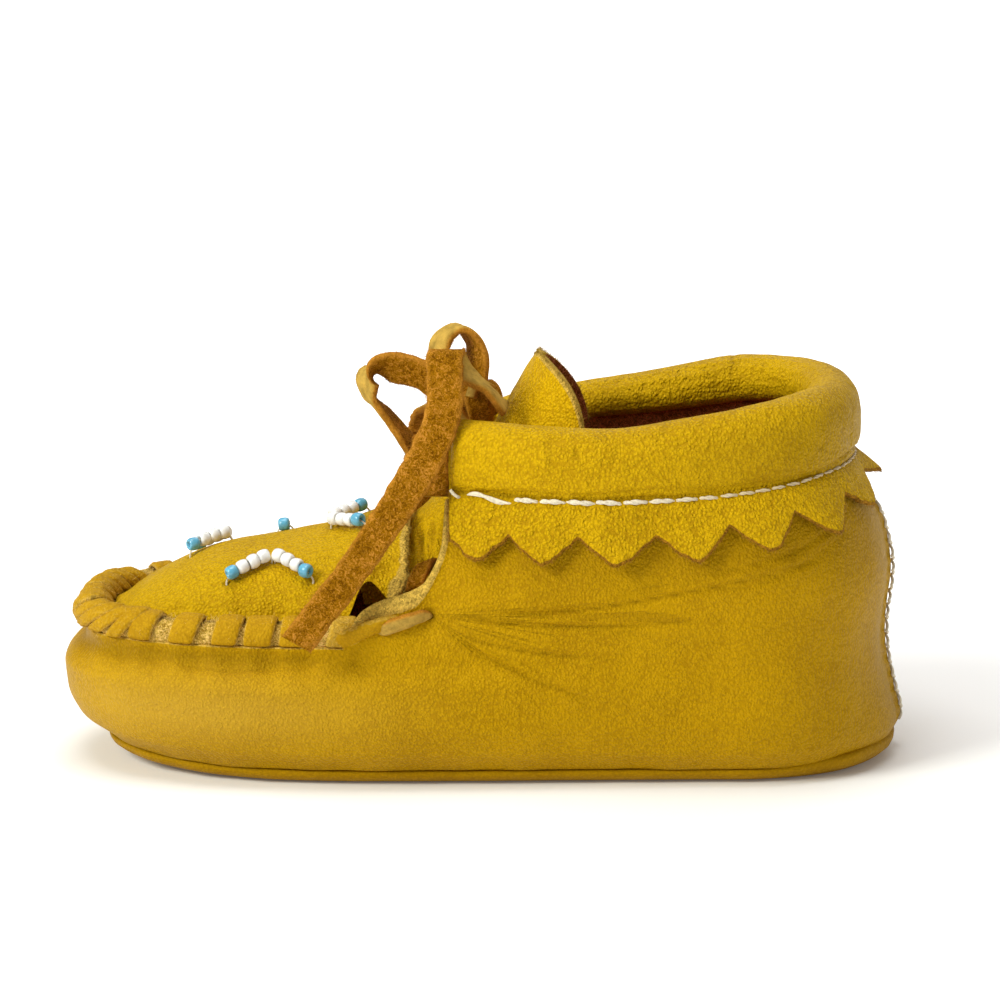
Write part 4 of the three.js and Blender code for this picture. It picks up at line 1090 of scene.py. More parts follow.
class MOCCASIN_OT_wall(bpy.types.Operator):
    """The one-piece wall of the shoe, with its creases, throat edge and back ridge"""

    bl_idname = "moccasin.wall"
    bl_label = "Wall"

    ROWS = 90
    INNER_ROWS = 10
    EVEN_COLUMNS = 230
    # First x, last x and count of the closer columns beside the throat and the creases
    CLOSE_COLUMNS = ((-21.5, -10.0, 50), (-9.8, -4.3, 60), (-4.0, 30.0, 90))
    BACK_COLUMNS = (0.975, 0.999, 14)
    FAN_CREASES = 20

    def execute(self, context):
        turns = self.columns()
        place = wall_point(turns, TOE_EDGE)[:, 0]
        top = wall_top(place)
        low = LEVELS[0, 0]
        share = np.linspace(0, 1, self.ROWS)
        z = low + (top - low)[:, None] * share
        turn = upright_turn(turns[:, None], place[:, None], z)
        face = wall_point(turn, z)
        normal = wall_normal(turn, z)
        offset, crease = self.relief(face, turn)
        band, swell = self.throat_edge(face)
        outer = face + normal * (offset + swell)[..., None]
        hide = sizes().hide / MM
        rim = [outer[:, -1] - normal[:, -1] * hide * t + np.array((0, 0, lift))
               for t, lift in ((0.12, 0.25), (0.5, 0.38), (0.88, 0.2))]
        inner_share = np.linspace(1, 0, self.INNER_ROWS)
        inner_rows = np.round(inner_share * (self.ROWS - 1)).astype(int)
        inner = face[:, inner_rows] - normal[:, inner_rows] * hide
        loops = np.concatenate([outer, np.stack(rim, 1), inner], 1)
        edge = outer_only(band, loops)
        edge[:, self.ROWS:self.ROWS + len(rim)] = 1.0
        finish = np.zeros(loops.shape[1], int)
        finish[self.ROWS + 2:-1] = 1
        wall = Piece("wall_leather")
        wall.loft(loops, ring=True, finish=finish, edge=edge, crease=outer_only(crease, loops),
                  folded=outer_only(self.fan(face), loops), worn=outer_only(self.painted_highlight(face), loops))
        c = colours()
        grain = leather("wall_grain", c.wall, c.raw, 0.38, 0.19, 0.5, (*LACE_HOLE, 0.18))
        wall.make([grain, suede("wall_lining", c.lining)], "wall_hide", "upper")
        return {"FINISHED"}

    def columns(self):
        """Turns of the wall's columns, closer by the throat and the back seam."""
        near = [turn_at(np.linspace(*run), TOE_EDGE) for run in self.CLOSE_COLUMNS]
        near += [np.linspace(0, 1, self.EVEN_COLUMNS), np.linspace(*self.BACK_COLUMNS)]
        turns = np.unique(np.round(np.concatenate(near), 5))
        turns = turns[np.concatenate([[True], np.diff(turns) > 0.0002])]
        return np.concatenate([turns, (2 - turns[1:-1])[::-1]])

    def relief(self, face, turn):
        """Depth of the creases and soft unevenness, and how dark each place is painted as shade: along the
        creases, in the lace hole, in the tuck under the wraps and under the cuff.
        """
        shape = turn.shape
        flat = face.reshape(-1, 3)
        plane = flat[:, [0, 2]]
        far = turn.reshape(-1) > 1
        offset = 0.22 * ripple(flat, 19.0, 71) + 0.1 * ripple(flat, 8.0, 72)
        dark = np.zeros(len(flat))
        rng = np.random.default_rng(73)
        lines = [(line, depth, half, True) for line, depth, half in CREASES]
        lines += [(self.mirrored(line, rng), depth, half, False) for line, depth, half in CREASES]
        sides = [True] * self.FAN_CREASES + [False] * self.FAN_CREASES
        lines += [(*self.fan_line(rng), near) for near in sides]
        for line, depth, half, near in lines:
            rows = np.array([(x, z, 0.0) for x, z in line])
            smooth = smooth_run(rows, 1.2)[:, :2]
            side = ~far if near else far
            box = (plane > smooth.min(0) - 3).all(1) & (plane < smooth.max(0) + 3).all(1) & side
            distance, share = line_distance(plane[box], smooth)
            fade = ease(share, 0.0, 0.2) * (1 - ease(share, 0.6, 1.0))
            depth = depth * sizes().crease
            trough = bell(distance, 0.8 * half)
            ridge = bell(distance - 2.2 * half, 1.3 * half)
            offset[box] += fade * depth * (0.35 * ridge - trough)
            # Painted shade along each crease.
            line_dark = bell(distance, 0.55 * half)
            dark[box] = np.maximum(dark[box], fade * line_dark * min(1.0, depth * 1.7))
        hole = np.linalg.norm(plane - np.array(LACE_HOLE), axis=1)
        offset -= 0.7 * bell(hole, 0.8)
        # Painted shade in the lace hole.
        dark = np.maximum(dark, 1.2 * bell(hole, 0.75))
        tucked = (1 - ease(flat[:, 0], -26, -19)) * bell(flat[:, 2] - TOE_EDGE, 1.3)
        offset -= 0.35 * tucked
        # Painted shade in the tuck under the wraps.
        dark = np.maximum(dark, 0.45 * tucked)
        # Painted shade on the wall under the cuff.
        shade = ease(flat[:, 2], 26, 36) * ease(flat[:, 0], -4, 8)
        dark = np.maximum(dark, 0.28 * shade)
        puckers = 0.18 * np.cos(2 * math.pi * flat[:, 0] / 5.6) * ease(flat[:, 2], 14.5, 18.5)
        offset += puckers * (1 - ease(flat[:, 0], -26, -20))
        return offset.reshape(shape), dark.reshape(shape)

    def painted_highlight(self, face):
        """Where a painted highlight makes the bulge of the toe paler."""
        x, z = face[..., 0], face[..., 2]
        return 0.5 * bell(z - 11.5, 5.0) * (1 - ease(x, -44, 2)) * ease(x, -64, -52)

    def throat_edge(self, face):
        """The cut edge beside the throat: where its raw band lies and how far it curls out."""
        shape = face.shape[:2]
        plane = face[..., [0, 2]].reshape(-1, 2)
        line = smooth_run(np.hstack([THROAT[1:], np.zeros((len(THROAT) - 1, 1))]), 0.5)[:, :2]
        band, swell = np.zeros(len(plane)), np.zeros(len(plane))
        near = (plane[:, 0] > -19.4) & (plane[:, 0] < -1) & (plane[:, 1] > 20)
        distance, _ = line_distance(plane[near], line)
        wide = 0.95 + 1.4 * (1 - ease(plane[near, 0], -10, -6.6))
        band[near] = 1 - ease(distance, wide * 0.75, wide * 1.1)
        swell[near] = 0.45 * bell(distance - wide * 0.45, wide * 0.5)
        return band.reshape(shape), swell.reshape(shape)

    def mirrored(self, line, rng):
        """A main crease for the far wall, moved about a little."""
        shift = rng.uniform(-1.6, 1.6)
        return [(x + rng.uniform(-1, 1), z + shift + rng.uniform(-0.5, 0.5)) for x, z in line]

    def fan_line(self, rng):
        """A finer crease that fans out from the lace hole."""
        angle = math.radians(rng.uniform(-42, 8))
        start = rng.uniform(1.0, 12.0)
        length = rng.uniform(9, 26)
        bend = rng.uniform(-0.004, 0.012)
        line = []
        for t in np.linspace(0, 1, 5):
            reach = start + length * t
            x = LACE_HOLE[0] + reach * math.cos(angle)
            z = LACE_HOLE[1] + reach * math.sin(angle) + bend * reach ** 2
            line.append((x, z + rng.uniform(-0.25, 0.25)))
        return line, rng.uniform(0.05, 0.11), rng.uniform(0.3, 0.45)

    def fan(self, face):
        """Where the fine hairline folds gather, round the lace hole and up towards the heel."""
        x, z = face[..., 0], face[..., 2]
        spread = bell(z - 25.5 - 0.13 * np.maximum(0, x - 5), 5.5 + 0.08 * np.abs(x))
        angle = np.degrees(np.arctan2(z - LACE_HOLE[1], x - LACE_HOLE[0]))
        wedge = ease(angle, -70, -48) * (1 - ease(angle, 4, 16))
        away = np.hypot(x - LACE_HOLE[0], z - LACE_HOLE[1])
        return spread * wedge * (0.35 + 0.65 * ease(away, 1, 9)) * (1 - 0.4 * ease(x, 30, 60))


class MOCCASIN_OT_plug(bpy.types.Operator):
    """The domed plug on top of the toe, drawn in along its seam"""

    bl_idname = "moccasin.plug"
    bl_label = "Plug"

    def execute(self, context):
        stations, across = 150, 110
        hide = sizes().hide / MM
        way = 1 - np.cos(math.pi / 2 * (np.arange(stations) + 0.25) / (stations - 0.75))
        x = (PLUG_TOE + (PLUG_REAR - PLUG_TOE) * way)[:, None]
        share = np.sin(math.pi * (np.arange(across + 1) / across - 0.5))[None]
        face = plug_point(x, share)
        inner_x = x + hide * (1 - way[:, None])
        under = plug_point(inner_x, share * 0.98, hide)
        step_x = np.gradient(face, axis=0)
        step_y = np.gradient(face, axis=1)
        normal = unit(np.cross(step_x, step_y))
        margin = self.margin(face)
        seam_wave = np.cos(2 * math.pi * (face[..., 0] + np.abs(face[..., 1]) * 0.35) / 5.4)
        offset = 0.28 * seam_wave * np.exp(-margin / 1.8) + 0.12 * ripple(face, 11.0, 81)
        dark = np.zeros(face.shape[:2])
        # The needle holes are sunk and painted dark as shade.
        for hole in pinholes():
            distance = np.linalg.norm(face - hole, axis=-1)
            offset -= 0.45 * bell(distance, 0.6)
            dark = np.maximum(dark, bell(distance, 0.5))
        rear_gap = PLUG_REAR - face[..., 0]
        corner = ease(np.abs(share), 0.84, 0.97)
        offset += 0.5 * ripple(face, 2.6, 85) * ease(np.abs(share), 0.6, 0.9) * np.exp(-rear_gap / 3.0)
        outer = face + normal * offset[..., None]
        ragged = 0.5 * ripple(face[..., 1:2], 4.0, 82) + 0.25 * ripple(face[..., 1:2], 1.3, 83)
        outer[..., 0] += ragged * np.exp(-rear_gap / 1.5)
        cut = 1 - ease(rear_gap, 0.5 + 1.2 * corner, 1.5 + 2.0 * corner)
        loops = np.concatenate([outer, under[:, ::-1]], 1)
        finish = np.repeat((0, 1), across + 1)
        edge = np.concatenate([cut, np.ones_like(cut)], 1)
        plug = Piece("plug_leather")
        plug.loft(loops, finish=finish, crease=outer_only(dark, loops), edge=edge)
        fuzz(plug, outer[-1], np.broadcast_to((1.0, 0.0, 0.3), outer[-1].shape), 2000, 0.5, 84, edge=1.0)
        c = colours()
        grain = leather("plug_grain", c.plug, c.raw, 0.44, 0.3, 0.52)
        plug.make([grain, suede("plug_lining", c.lining)], "plug_hide", "plug")
        return {"FINISHED"}

    def margin(self, face):
        """Distance in plan from the plug's seam edge."""
        _, half, _ = plug_section(face[..., 0])
        return np.maximum(0, np.minimum(half - np.abs(face[..., 1]), face[..., 0] - PLUG_TOE))


def bead_places():
    """Centre, heading and colour of each bead, and each row's two ends."""
    radius = sizes().bead_radius / MM
    beads, rows = [], []

    def row(x, y, bearing, apart, colours_in_order, standoff=BEAD_STANDOFF):
        angle = math.radians(bearing)
        start = plug_under(x, y)
        heading = unit(plug_under(x + math.cos(angle), y + math.sin(angle)) - start)
        middles = []
        for i, colour in enumerate(colours_in_order):
            step = apart + (i + 0.5) * BEAD_PITCH
            spot = plug_under(x + heading[0] * step, y + heading[1] * step)
            middle = spot + plug_normal(spot[0], spot[1]) * (radius + standoff)
            middles.append(middle)
            beads.append((middle, heading, colour))
        last = apart + len(colours_in_order) * BEAD_PITCH + 0.3
        first = apart - 0.2
        ends = [plug_under(x + heading[0] * s, y + heading[1] * s) for s in (first, last)]
        rows.append((ends[0], middles, ends[1]))

    for x, y, bearing, spread, apart in CHEVRONS.values():
        for sign in (-1, 1):
            row(x, y, bearing + sign * spread, apart, ["white"] * BEAD_WHITES + ["blue"])
    row(CENTRE_BEAD[0] - BEAD_PITCH / 2, CENTRE_BEAD[1], 0.0, 0.0, ["blue"], CENTRE_STANDOFF)
    return beads, rows


def pinholes():
    """Needle holes at the ends of each bead row."""
    return [end for first, _, last in bead_places()[1] for end in (first, last)]


class MOCCASIN_OT_beads(bpy.types.Operator):
    """White and blue seed beads in four chevrons, and the thread that holds them"""

    bl_idname = "moccasin.beads"
    bl_label = "Beads"

    def execute(self, context):
        beads, rows = bead_places()
        whites, blues = Piece("beads_white"), Piece("beads_blue")
        rng = np.random.default_rng(91)
        for middle, heading, colour in beads:
            self.bead(whites if colour == "white" else blues, middle, heading, rng)
        arms = [f"{name}_{arm}" for name in CHEVRONS for arm in "ab"]
        c = colours()
        whites.make([bead_glass("white_glass", c.white_bead)], "white_bead",
                    *[f"beads_white_{a}" for a in arms])
        blues.make([bead_glass("blue_glass", c.blue_bead)], "blue_bead", "bead_centre",
                   *[f"bead_blue_{a}" for a in arms])
        threads = Piece("bead_thread")
        for first, middles, last in rows:
            start = [first + (0, 0, rise) for rise in (-0.5, 0.15)]
            end = [last + (0, 0, rise) for rise in (0.15, -0.5)]
            threads.strands(smooth_run(start + middles + end, 0.25)[None], 0.15, 8)
        threads.make([thread_finish("bead_thread", c.thread)], "white_bead")
        return {"FINISHED"}

    def bead(self, piece, middle, heading, rng):
        """One pressed bead: a rounded barrel with a hole through it."""
        radius = sizes().bead_radius / MM * rng.uniform(0.95, 1.06)
        length = (BEAD_PITCH - 0.06) * rng.uniform(0.94, 1.03)
        heading = unit(heading + rng.normal(0, 0.06, 3))
        side = unit(np.cross(heading, plug_normal(middle[0], middle[1])))
        up = np.cross(side, heading)
        turn = np.linspace(0, 2 * math.pi, 28, endpoint=False)[:, None]
        lap = np.linspace(0, 2 * math.pi, 18, endpoint=False)[None]
        soft, hole = 0.85, 0.24
        along_hole = squared_off(np.cos(lap), soft) * length / 2
        wall = (radius - hole) / 2
        from_axis = hole + wall + squared_off(np.sin(lap), soft) * wall
        loops = middle + along_hole[..., None] * heading
        loops = loops + (from_axis * np.cos(turn))[..., None] * side
        loops = loops + (from_axis * np.sin(turn))[..., None] * up
        piece.loft(loops, ring=True)


class MOCCASIN_OT_toe_lacing(bpy.types.Operator):
    """Raw lips of the toe seam, the lace wrapped over them and its two tails"""

    bl_idname = "moccasin.toe_lacing"
    bl_label = "Toe Lacing"

    LIP_RADIUS, SLIT_DEPTH = 2.05, 0.75
    WRAP_RADIUS, WRAP_THICK, WRAP_PITCH = 2.15, 0.75, 5.3
    TAIL_THICK, BEND_WIDTH, BEND_THICK = 1.2, 2.2, 1.1

    def execute(self, context):
        piece = Piece("toe_lacing_wraps")
        self.lips(piece)
        rng = np.random.default_rng(101)
        for share, near_toe in self.wrap_shares():
            worn = 0.5 if share < 0.03 or share > 0.97 else 0.35 * near_toe
            self.wrap(piece, share, near_toe, worn, rng)
        for side in (-1, 1):
            self.tail(piece, side)
            self.throat_bit(piece, side)
        c = colours()
        wrap_grain = leather("wrap_grain", c.wrap, c.raw, 0.4, 0.14, 0.55)
        skins = [suede("seam_lips", shaded(c.raw, 1.1)), wrap_grain, lace_material()]
        piece.make(skins, "cuff_hide", "toe_lacing")
        return {"FINISHED"}

    def wrap_shares(self):
        """Share of the seam's length at each wrap, and 1 for the wraps round the toe."""
        near = [seam_share_at(x) for x in WRAP_MIDDLES]
        far = [1 - share for share in near[::-1]]
        toe = np.linspace(near[-1], far[0], WRAPS_ROUND_TOE + 2)[1:-1]
        return [(s, 0.0) for s in near] + [(float(s), 1.0) for s in toe] + [(s, 0.0) for s in far]

    def lips(self, piece):
        """Two cut edges side by side with a slit between them."""
        stations, around = 420, 22
        share = np.linspace(0, 1, stations)
        centre, outward = seam_frame(share)
        angle = 2 * math.pi * np.arange(around) / around
        place = places_of(share[:, None] * 110, np.cos(angle) * 3, np.sin(angle) * 3)
        slit = self.SLIT_DEPTH * bell(angle - math.pi / 2, 0.3)
        radius = self.LIP_RADIUS - slit + 0.16 * ripple(place, 2.2, 102) + 0.1 * ripple(place, 0.9, 103)
        loops = centre[:, None] + outward[:, None] * (radius * np.cos(angle))[..., None]
        loops = loops + UP * (radius * np.sin(angle))[..., None]
        # The slit between the lips is painted dark as shade.
        piece.loft(loops, crease=np.broadcast_to(slit, radius.shape))
        seen = (angle < math.radians(205)) | (angle > math.radians(295))
        fuzz(piece, loops[:, seen], unit(loops - centre[:, None])[:, seen], 4000, 1.1, 105, 0.03, edge=0.7)

    def wrap(self, piece, share, near_toe, worn, rng):
        """One turn of lace from its hole in the wall over the lips to its hole in the plug."""
        length = SEAM_LENGTHS[-1]
        lean = (0.1 + 0.4 * near_toe) * rng.uniform(0.5, 1.5) * self.WRAP_PITCH / length
        half = sizes().wrap_width / MM / 2 * rng.uniform(0.86, 1.1) * (1 - 0.2 * near_toe)
        lap = np.linspace(WRAP_FROM, WRAP_TO, 40)
        columns = 9
        across = np.linspace(-1, 1, columns)
        swell = 1 + 0.1 * np.sin((lap + 1.1) * 0.62)
        u = np.concatenate([across, across[::-1]])
        level = np.concatenate([np.ones(columns), np.zeros(columns)])
        level = level * (1 - 0.4 * np.abs(u) ** 7)
        middle = share - lean * np.sin(lap)
        shares = middle[:, None] + u * half * swell[:, None] / length
        centre, outward = seam_frame(shares)
        sunk = 0.7 * (1 - ease(lap, WRAP_FROM, math.radians(-38)))
        sunk = sunk + ease(lap, math.radians(196), WRAP_TO)
        rough = 0.07 * ripple(places_of(lap[:, None] * 2.6, u * half), 1.8, rng.integers(999))
        bunched = near_toe * rng.uniform(-0.15, 0.4)
        radius = self.WRAP_RADIUS + (self.WRAP_THICK + bunched) * level + rough - sunk[:, None]
        loops = centre + outward * (radius * np.cos(lap)[:, None])[..., None]
        loops = loops + UP * (radius * np.sin(lap)[:, None])[..., None]
        edge = np.broadcast_to(np.where(np.abs(u) > 0.8, 0.6, worn), radius.shape)
        # Painted shade where the wrap dips into its hole and along the foot of its edges.
        dark = np.broadcast_to((1 - ease(lap, WRAP_FROM, math.radians(-46)))[:, None], radius.shape)
        foot = np.where((np.abs(u) > 0.7) & (level < 0.3), 0.7, 0.0)
        piece.loft(loops, finish=1, edge=edge, crease=np.maximum(dark, foot))

    def tail(self, piece, side):
        """The lace's tail on the wall: a flat run from the seam's end and a twisted one on to its hole."""
        for run, width, finish in ((TAIL_FLAT, 2.3, 1), (TAIL_TWISTED, 2.1, 2)):
            rows = []
            for x, z, stand in run:
                near_turn = turn_at(x, z)
                turn = near_turn if side < 0 else 2 - near_turn
                rows.append([*(wall_point(turn, z) + wall_normal(turn, z) * stand), 0.2, side * 0.5, 1.0])
            narrowing = 0.6 * (finish - 1)
            ribbon(piece, rows, -side, 104 + side, width, self.TAIL_THICK, finish=finish, fuzzy=0.4,
                   narrowing=narrowing)

    def throat_bit(self, piece, side):
        """A short bend of the lace that shows inside the throat."""
        rows = [(x, side * y, z, 0.9, 0.0, 0.4) for x, y, z in THROAT_BEND]
        ribbon(piece, rows, side, 107 + side, self.BEND_WIDTH, self.BEND_THICK, finish=2, fuzzy=0.4)


class MOCCASIN_OT_tongue(bpy.types.Operator):
    """The tongue, curled round the ankle, with its cut edge and napped inside"""

    bl_idname = "moccasin.tongue"
    bl_label = "Tongue"

    def execute(self, context):
        columns, rows = 110, 120
        hide = sizes().hide / MM
        side = np.sin(np.linspace(-1, 1, columns) * math.pi / 2)[:, None]
        reach = np.abs(side)
        drop = np.where(side < 0, 0.2 * reach ** 4, 0.05 * reach + 0.1 * reach ** 4)
        drop = drop + TONGUE_TIP_CUT * (1 - ease(reach, 0.0, 0.16))
        way = np.linspace(0, 1, rows)[None] * (1 - drop)
        outer = tongue_point(way, side)
        under = tongue_point(way, side, hide)
        spread = ease(way, 0.04, 0.2) * (1 - ease(way, 0.22, 0.44))
        for sheet in (outer, under):
            sheet[..., 1] *= 1 + 0.5 * spread * np.abs(side) ** 1.5
            sheet[..., 2] -= 1.5 * spread * np.abs(side) ** 3
        upright = np.sin(outer[..., 0] * 3.8 + np.sin(outer[..., 2] * 0.6))
        gathers = 0.5 * np.sin(side * 21 + 5 * way) + upright
        gathers = gathers * ease(way, 0.1, 0.25) * (1 - ease(way, 0.42, 0.6)) * ease(np.abs(side), 0.2, 0.5)
        wave = 0.3 * ripple(outer, 13.0, 111) + 0.24 * gathers
        outward = unit(outer - under)
        outer = outer + outward * (wave + 0.08 * ripple(outer, 3.0, 112))[..., None]
        under = under + outward * wave[..., None]
        middle = (outer + under) / 2
        rim = middle[:, -1] + 0.25 * (outer[:, -1] - outer[:, -2])
        loops = np.concatenate([outer, rim[:, None], under[:, ::-1]], 1)
        share = np.linspace(0, 1, rows)[None] * np.ones((columns, 1))
        near_edge = np.maximum(ease(share, 0.98, 0.995), ease(np.abs(side), 0.988, 0.998))
        edge = outer_only(near_edge, loops)
        edge[:, rows] = 1.0
        # Painted shade in the troughs of the gathers.
        dark = outer_only(0.5 * np.clip(-gathers, 0, 1), loops)
        piece = Piece("tongue_leather")
        piece.loft(loops, finish=np.repeat((0, 1), (rows + 1, rows)), edge=edge, crease=dark)
        out_way = unit(outer[:, -1] - outer[:, -4])
        fuzz(piece, outer[:, -1], out_way, 2000, 0.45, 113, edge=1.0)
        for column, sign in ((0, -1.0), (-1, 1.0)):
            upper_half = outer[column, rows // 2:]
            away = np.broadcast_to((0.9, 0.3 * sign, 0.2), upper_half.shape)
            fuzz(piece, upper_half, away, 900, 0.45, 114, edge=1.0)
        c = colours()
        # Painted light: the tongue's grain is the plug's colour made lighter, standing for light falling on
        # it.
        grain = leather("tongue_grain", shaded(c.plug, 1.2), c.raw, 0.38, 0.3, 0.55)
        piece.make([grain, suede("tongue_lining", c.lining)], "plug_hide", "tongue")
        return {"FINISHED"}


class MOCCASIN_OT_collar(bpy.types.Operator):
    """The soft rolled collar"""

    bl_idname = "moccasin.collar"
    bl_label = "Collar Roll"

    # Section of the roll's inner half: share of the way down it, then how far out and how high each place is
    INSIDE_LAP = (0.0, 0.12, 0.25, 0.36, 0.45, 0.54, 0.61, 0.67, 0.72, 0.82, 0.92, 1.0)
    INSIDE_OUT = (0.0, -0.42, -0.78, -0.96, -1.0, -0.93, -0.72, -0.45, -0.3, -0.22, -0.12, 0.0)
    INSIDE_RISE = (1.0, 0.95, 0.78, 0.55, 0.36, 0.15, 0.01, -0.05, -0.12, -0.4, -0.75, -1.0)
    LINING_FROM = 0.67
    WRINKLES = 120

    def execute(self, context):
        stations, around = 480, 110
        shares = np.linspace(0, 1, stations)
        turns, length = collar_turns(shares)
        outward = level_outward(turns, COLLAR_Z)
        foot = wall_point(turns, COLLAR_Z) - outward * COLLAR_INSET
        x = foot[:, 0]
        low, high = along(COLLAR_LINES, x), along(COLLAR_LINES, x, 2)
        far_rise = 0.8 * ease(x, 12, 22) * (1 - ease(x, 36, 50)) - 0.5 * (1 - ease(x, 12, 22))
        far_rise = far_rise - 2.1 * (1 - ease(x, 1, 10))
        high = high + np.where(turns > 1, far_rise, 0)
        angle = 2 * math.pi * (np.arange(around) + 0.5) / around
        cosine, sine = np.cos(angle), np.sin(angle)
        power = np.where((cosine > 0) & (sine < 0), 0.62, 0.95)
        out, rise = squared_off(cosine, power), squared_off(sine, power)
        inside = cosine < 0
        lap = (angle[inside] - math.pi / 2) / math.pi
        out[inside] = np.interp(lap, self.INSIDE_LAP, self.INSIDE_OUT)
        rise[inside] = np.interp(lap, self.INSIDE_LAP, self.INSIDE_RISE)
        end_gap = np.minimum(shares, 1 - shares) * length
        rounding = np.sqrt(np.clip(1 - (1 - np.clip(end_gap / 1.6, 0, 1)) ** 2, 0.42, 1))
        squat = 0.86 + 0.14 * rounding
        place = places_of(shares[:, None] * length, 9 * angle)
        swell = 0.16 * ripple(place, 17.0, 121) + 0.08 * ripple(place, 6.0, 122)
        folds, dark = self.folds(shares[:, None] * length, rise[None] * np.ones((stations, 1)), cosine)
        thick = (COLLAR_THICK + swell + folds) * rounding[:, None]
        height = ((high - low) / 2 * squat)[:, None] + 0.5 * (swell + folds)
        loops = foot[:, None] + outward[:, None] * (thick * out)[..., None]
        loops[..., 2] = ((high + low) / 2)[:, None] + height * rise
        finish = np.zeros(around, int)
        finish[np.flatnonzero(inside)[lap > self.LINING_FROM]] = 1
        # Painted shade: the outer face darkens towards the heel, less on its top.
        shade = 0.45 * ease(x, 16, 42)[:, None] * (cosine > 0) * (1 - 0.6 * ease(rise, 0.3, 0.9))
        dark = np.maximum(dark, shade)
        wrinkled = np.where(cosine < 0, ease(rise, -0.1, 0.3), ease(rise, 0.1, 0.75))
        wrinkled = wrinkled * np.where(cosine > 0, 0.25, 0.6) * (1 - 0.8 * ease(x, 38, 52))[:, None]
        piece = Piece("collar_roll")
        piece.loft(loops, finish=finish, crease=dark, folded=wrinkled)
        c = colours()
        grain = leather("collar_grain", c.cuff, c.raw, 0.44, 0.3, 0.5, (1.6, 1.6, 0.16, 0.2))
        roll = piece.make([grain, suede("collar_lining", c.lining)], "cuff_hide", "collar")
        return {"FINISHED"}

    def folds(self, run, rise, cosine):
        """Short upright wrinkles across the roll and one long soft fold above the stitches, with painted
        shade in them and on the lower part of the roll's outer face.
        """
        rng = np.random.default_rng(123)
        depth = np.zeros_like(rise)
        dark = np.zeros_like(rise)
        total = run.max()
        for _ in range(self.WRINKLES):
            place = rng.uniform(3, total - 3)
            level = rng.uniform(-0.9, 0.9)
            reach = rng.uniform(0.15, 0.4)
            lean = rng.uniform(-0.8, 0.8)
            side = 1 if rng.uniform() < 0.5 else -1
            wide = rng.uniform(0.25, 0.5)
            strength = rng.uniform(0.05, 0.17)
            along_roll = (run - place - lean * (rise - level) * 3) / wide
            mask = np.exp(-along_roll ** 2 - ((rise - level) / reach) ** 2) * (cosine * side > -0.2)
            depth -= strength * mask
            dark = np.maximum(dark, 0.45 * mask * strength / 0.17)
        rear = ease(run, 40, 60) * (1 - ease(run, total - 60, total - 40))
        wander = 0.06 * np.sin(run / 6.0) + 0.04 * np.sin(run / 2.7)
        fold = bell(rise + 0.7 + wander, 0.06) * (cosine > 0) * (0.4 + 0.6 * rear)
        depth -= 0.5 * fold
        dark = np.maximum(dark, 0.65 * fold)
        # Painted shade on the lower part of the roll's outer face.
        dark = np.maximum(dark, 0.5 * ease(-rise, 0.6, 1.0) * (cosine > 0))
        return depth, dark


class MOCCASIN_OT_cuff(bpy.types.Operator):
    """The pinked cuff below the collar"""

    bl_idname = "moccasin.cuff"
    bl_label = "Pinked Cuff"

    def execute(self, context):
        per_tooth, rows = 40, 26
        shares = np.linspace(0.002, 0.998, int(CUFF_TEETH * per_tooth))
        turns, bottom, low, stand = cuff_lines(shares)
        edge_place = places_of(shares * CUFF_RUN, 0.0)
        bottom = bottom + 0.16 * ripple(edge_place, 1.7, 131) + 0.1 * ripple(edge_place, 0.8, 132)
        top = low + 1.1
        level = np.linspace(0, 1, rows)[None]
        z = bottom[:, None] + (top - bottom)[:, None] * level
        turn = upright_turn(turns[:, None], wall_point(turns, COLLAR_Z)[:, :1], z)
        wall = wall_point(turn, z)
        outward = level_outward(turn, z)
        below = 1 - level
        lift = CUFF_STAND + (stand[:, None] - CUFF_STAND) * below
        place = places_of(shares[:, None] * CUFF_RUN, z)
        lift = lift + below * (0.3 + 0.35 * ripple(place, 9.0, 133))
        sewn = 0.35 * ease(level, 0.78, 0.95)
        thick = CUFF_THICK - sewn + 0.05 * ripple(place, 2.5, 134)
        rounded = 1 - 0.45 * np.exp(-level * 18)
        outer = wall + outward * (lift + thick * rounded)[..., None]
        inner = wall + outward * np.maximum(0.2, lift)[..., None]
        loops = np.concatenate([outer, inner[:, ::-1]], 1)
        from_edge = (z - bottom[:, None]) * 0.75
        end_gap = np.minimum(shares, 1 - shares)[:, None] * CUFF_RUN
        edge = 0.9 * (1 - ease(np.minimum(from_edge, end_gap * 1.2), 0.2, 0.65))
        edge = np.concatenate([edge, np.ones_like(edge)], 1)
        piece = Piece("cuff_leather")
        piece.loft(loops, edge=edge, crease=outer_only(self.puckers(place, low), loops))
        downward = outward[:, 0] * 0.2 - UP
        fuzz(piece, outer[:, 0], downward, 2300, 0.35, 135, finish=1, edge=0.6)
        for end, seed in ((outer[0], 136), (outer[-1], 137)):
            forward = np.broadcast_to((-1.0, 0.0, 0.0), end.shape)
            fuzz(piece, end, forward, 260, 0.4, seed, finish=1, edge=0.6)
        c = colours()
        grain = leather("cuff_grain", c.cuff, c.cut, 0.44, 0.4, 0.5)
        piece.make([grain, suede("cuff_fuzz", c.cut)], "cuff_hide")
        return {"FINISHED"}

    def puckers(self, place, low):
        """Painted shade along the drawn-in line of the stitches."""
        gap = place[..., 1] - low[:, None] - 0.8
        return 0.75 * bell(gap, 0.35)


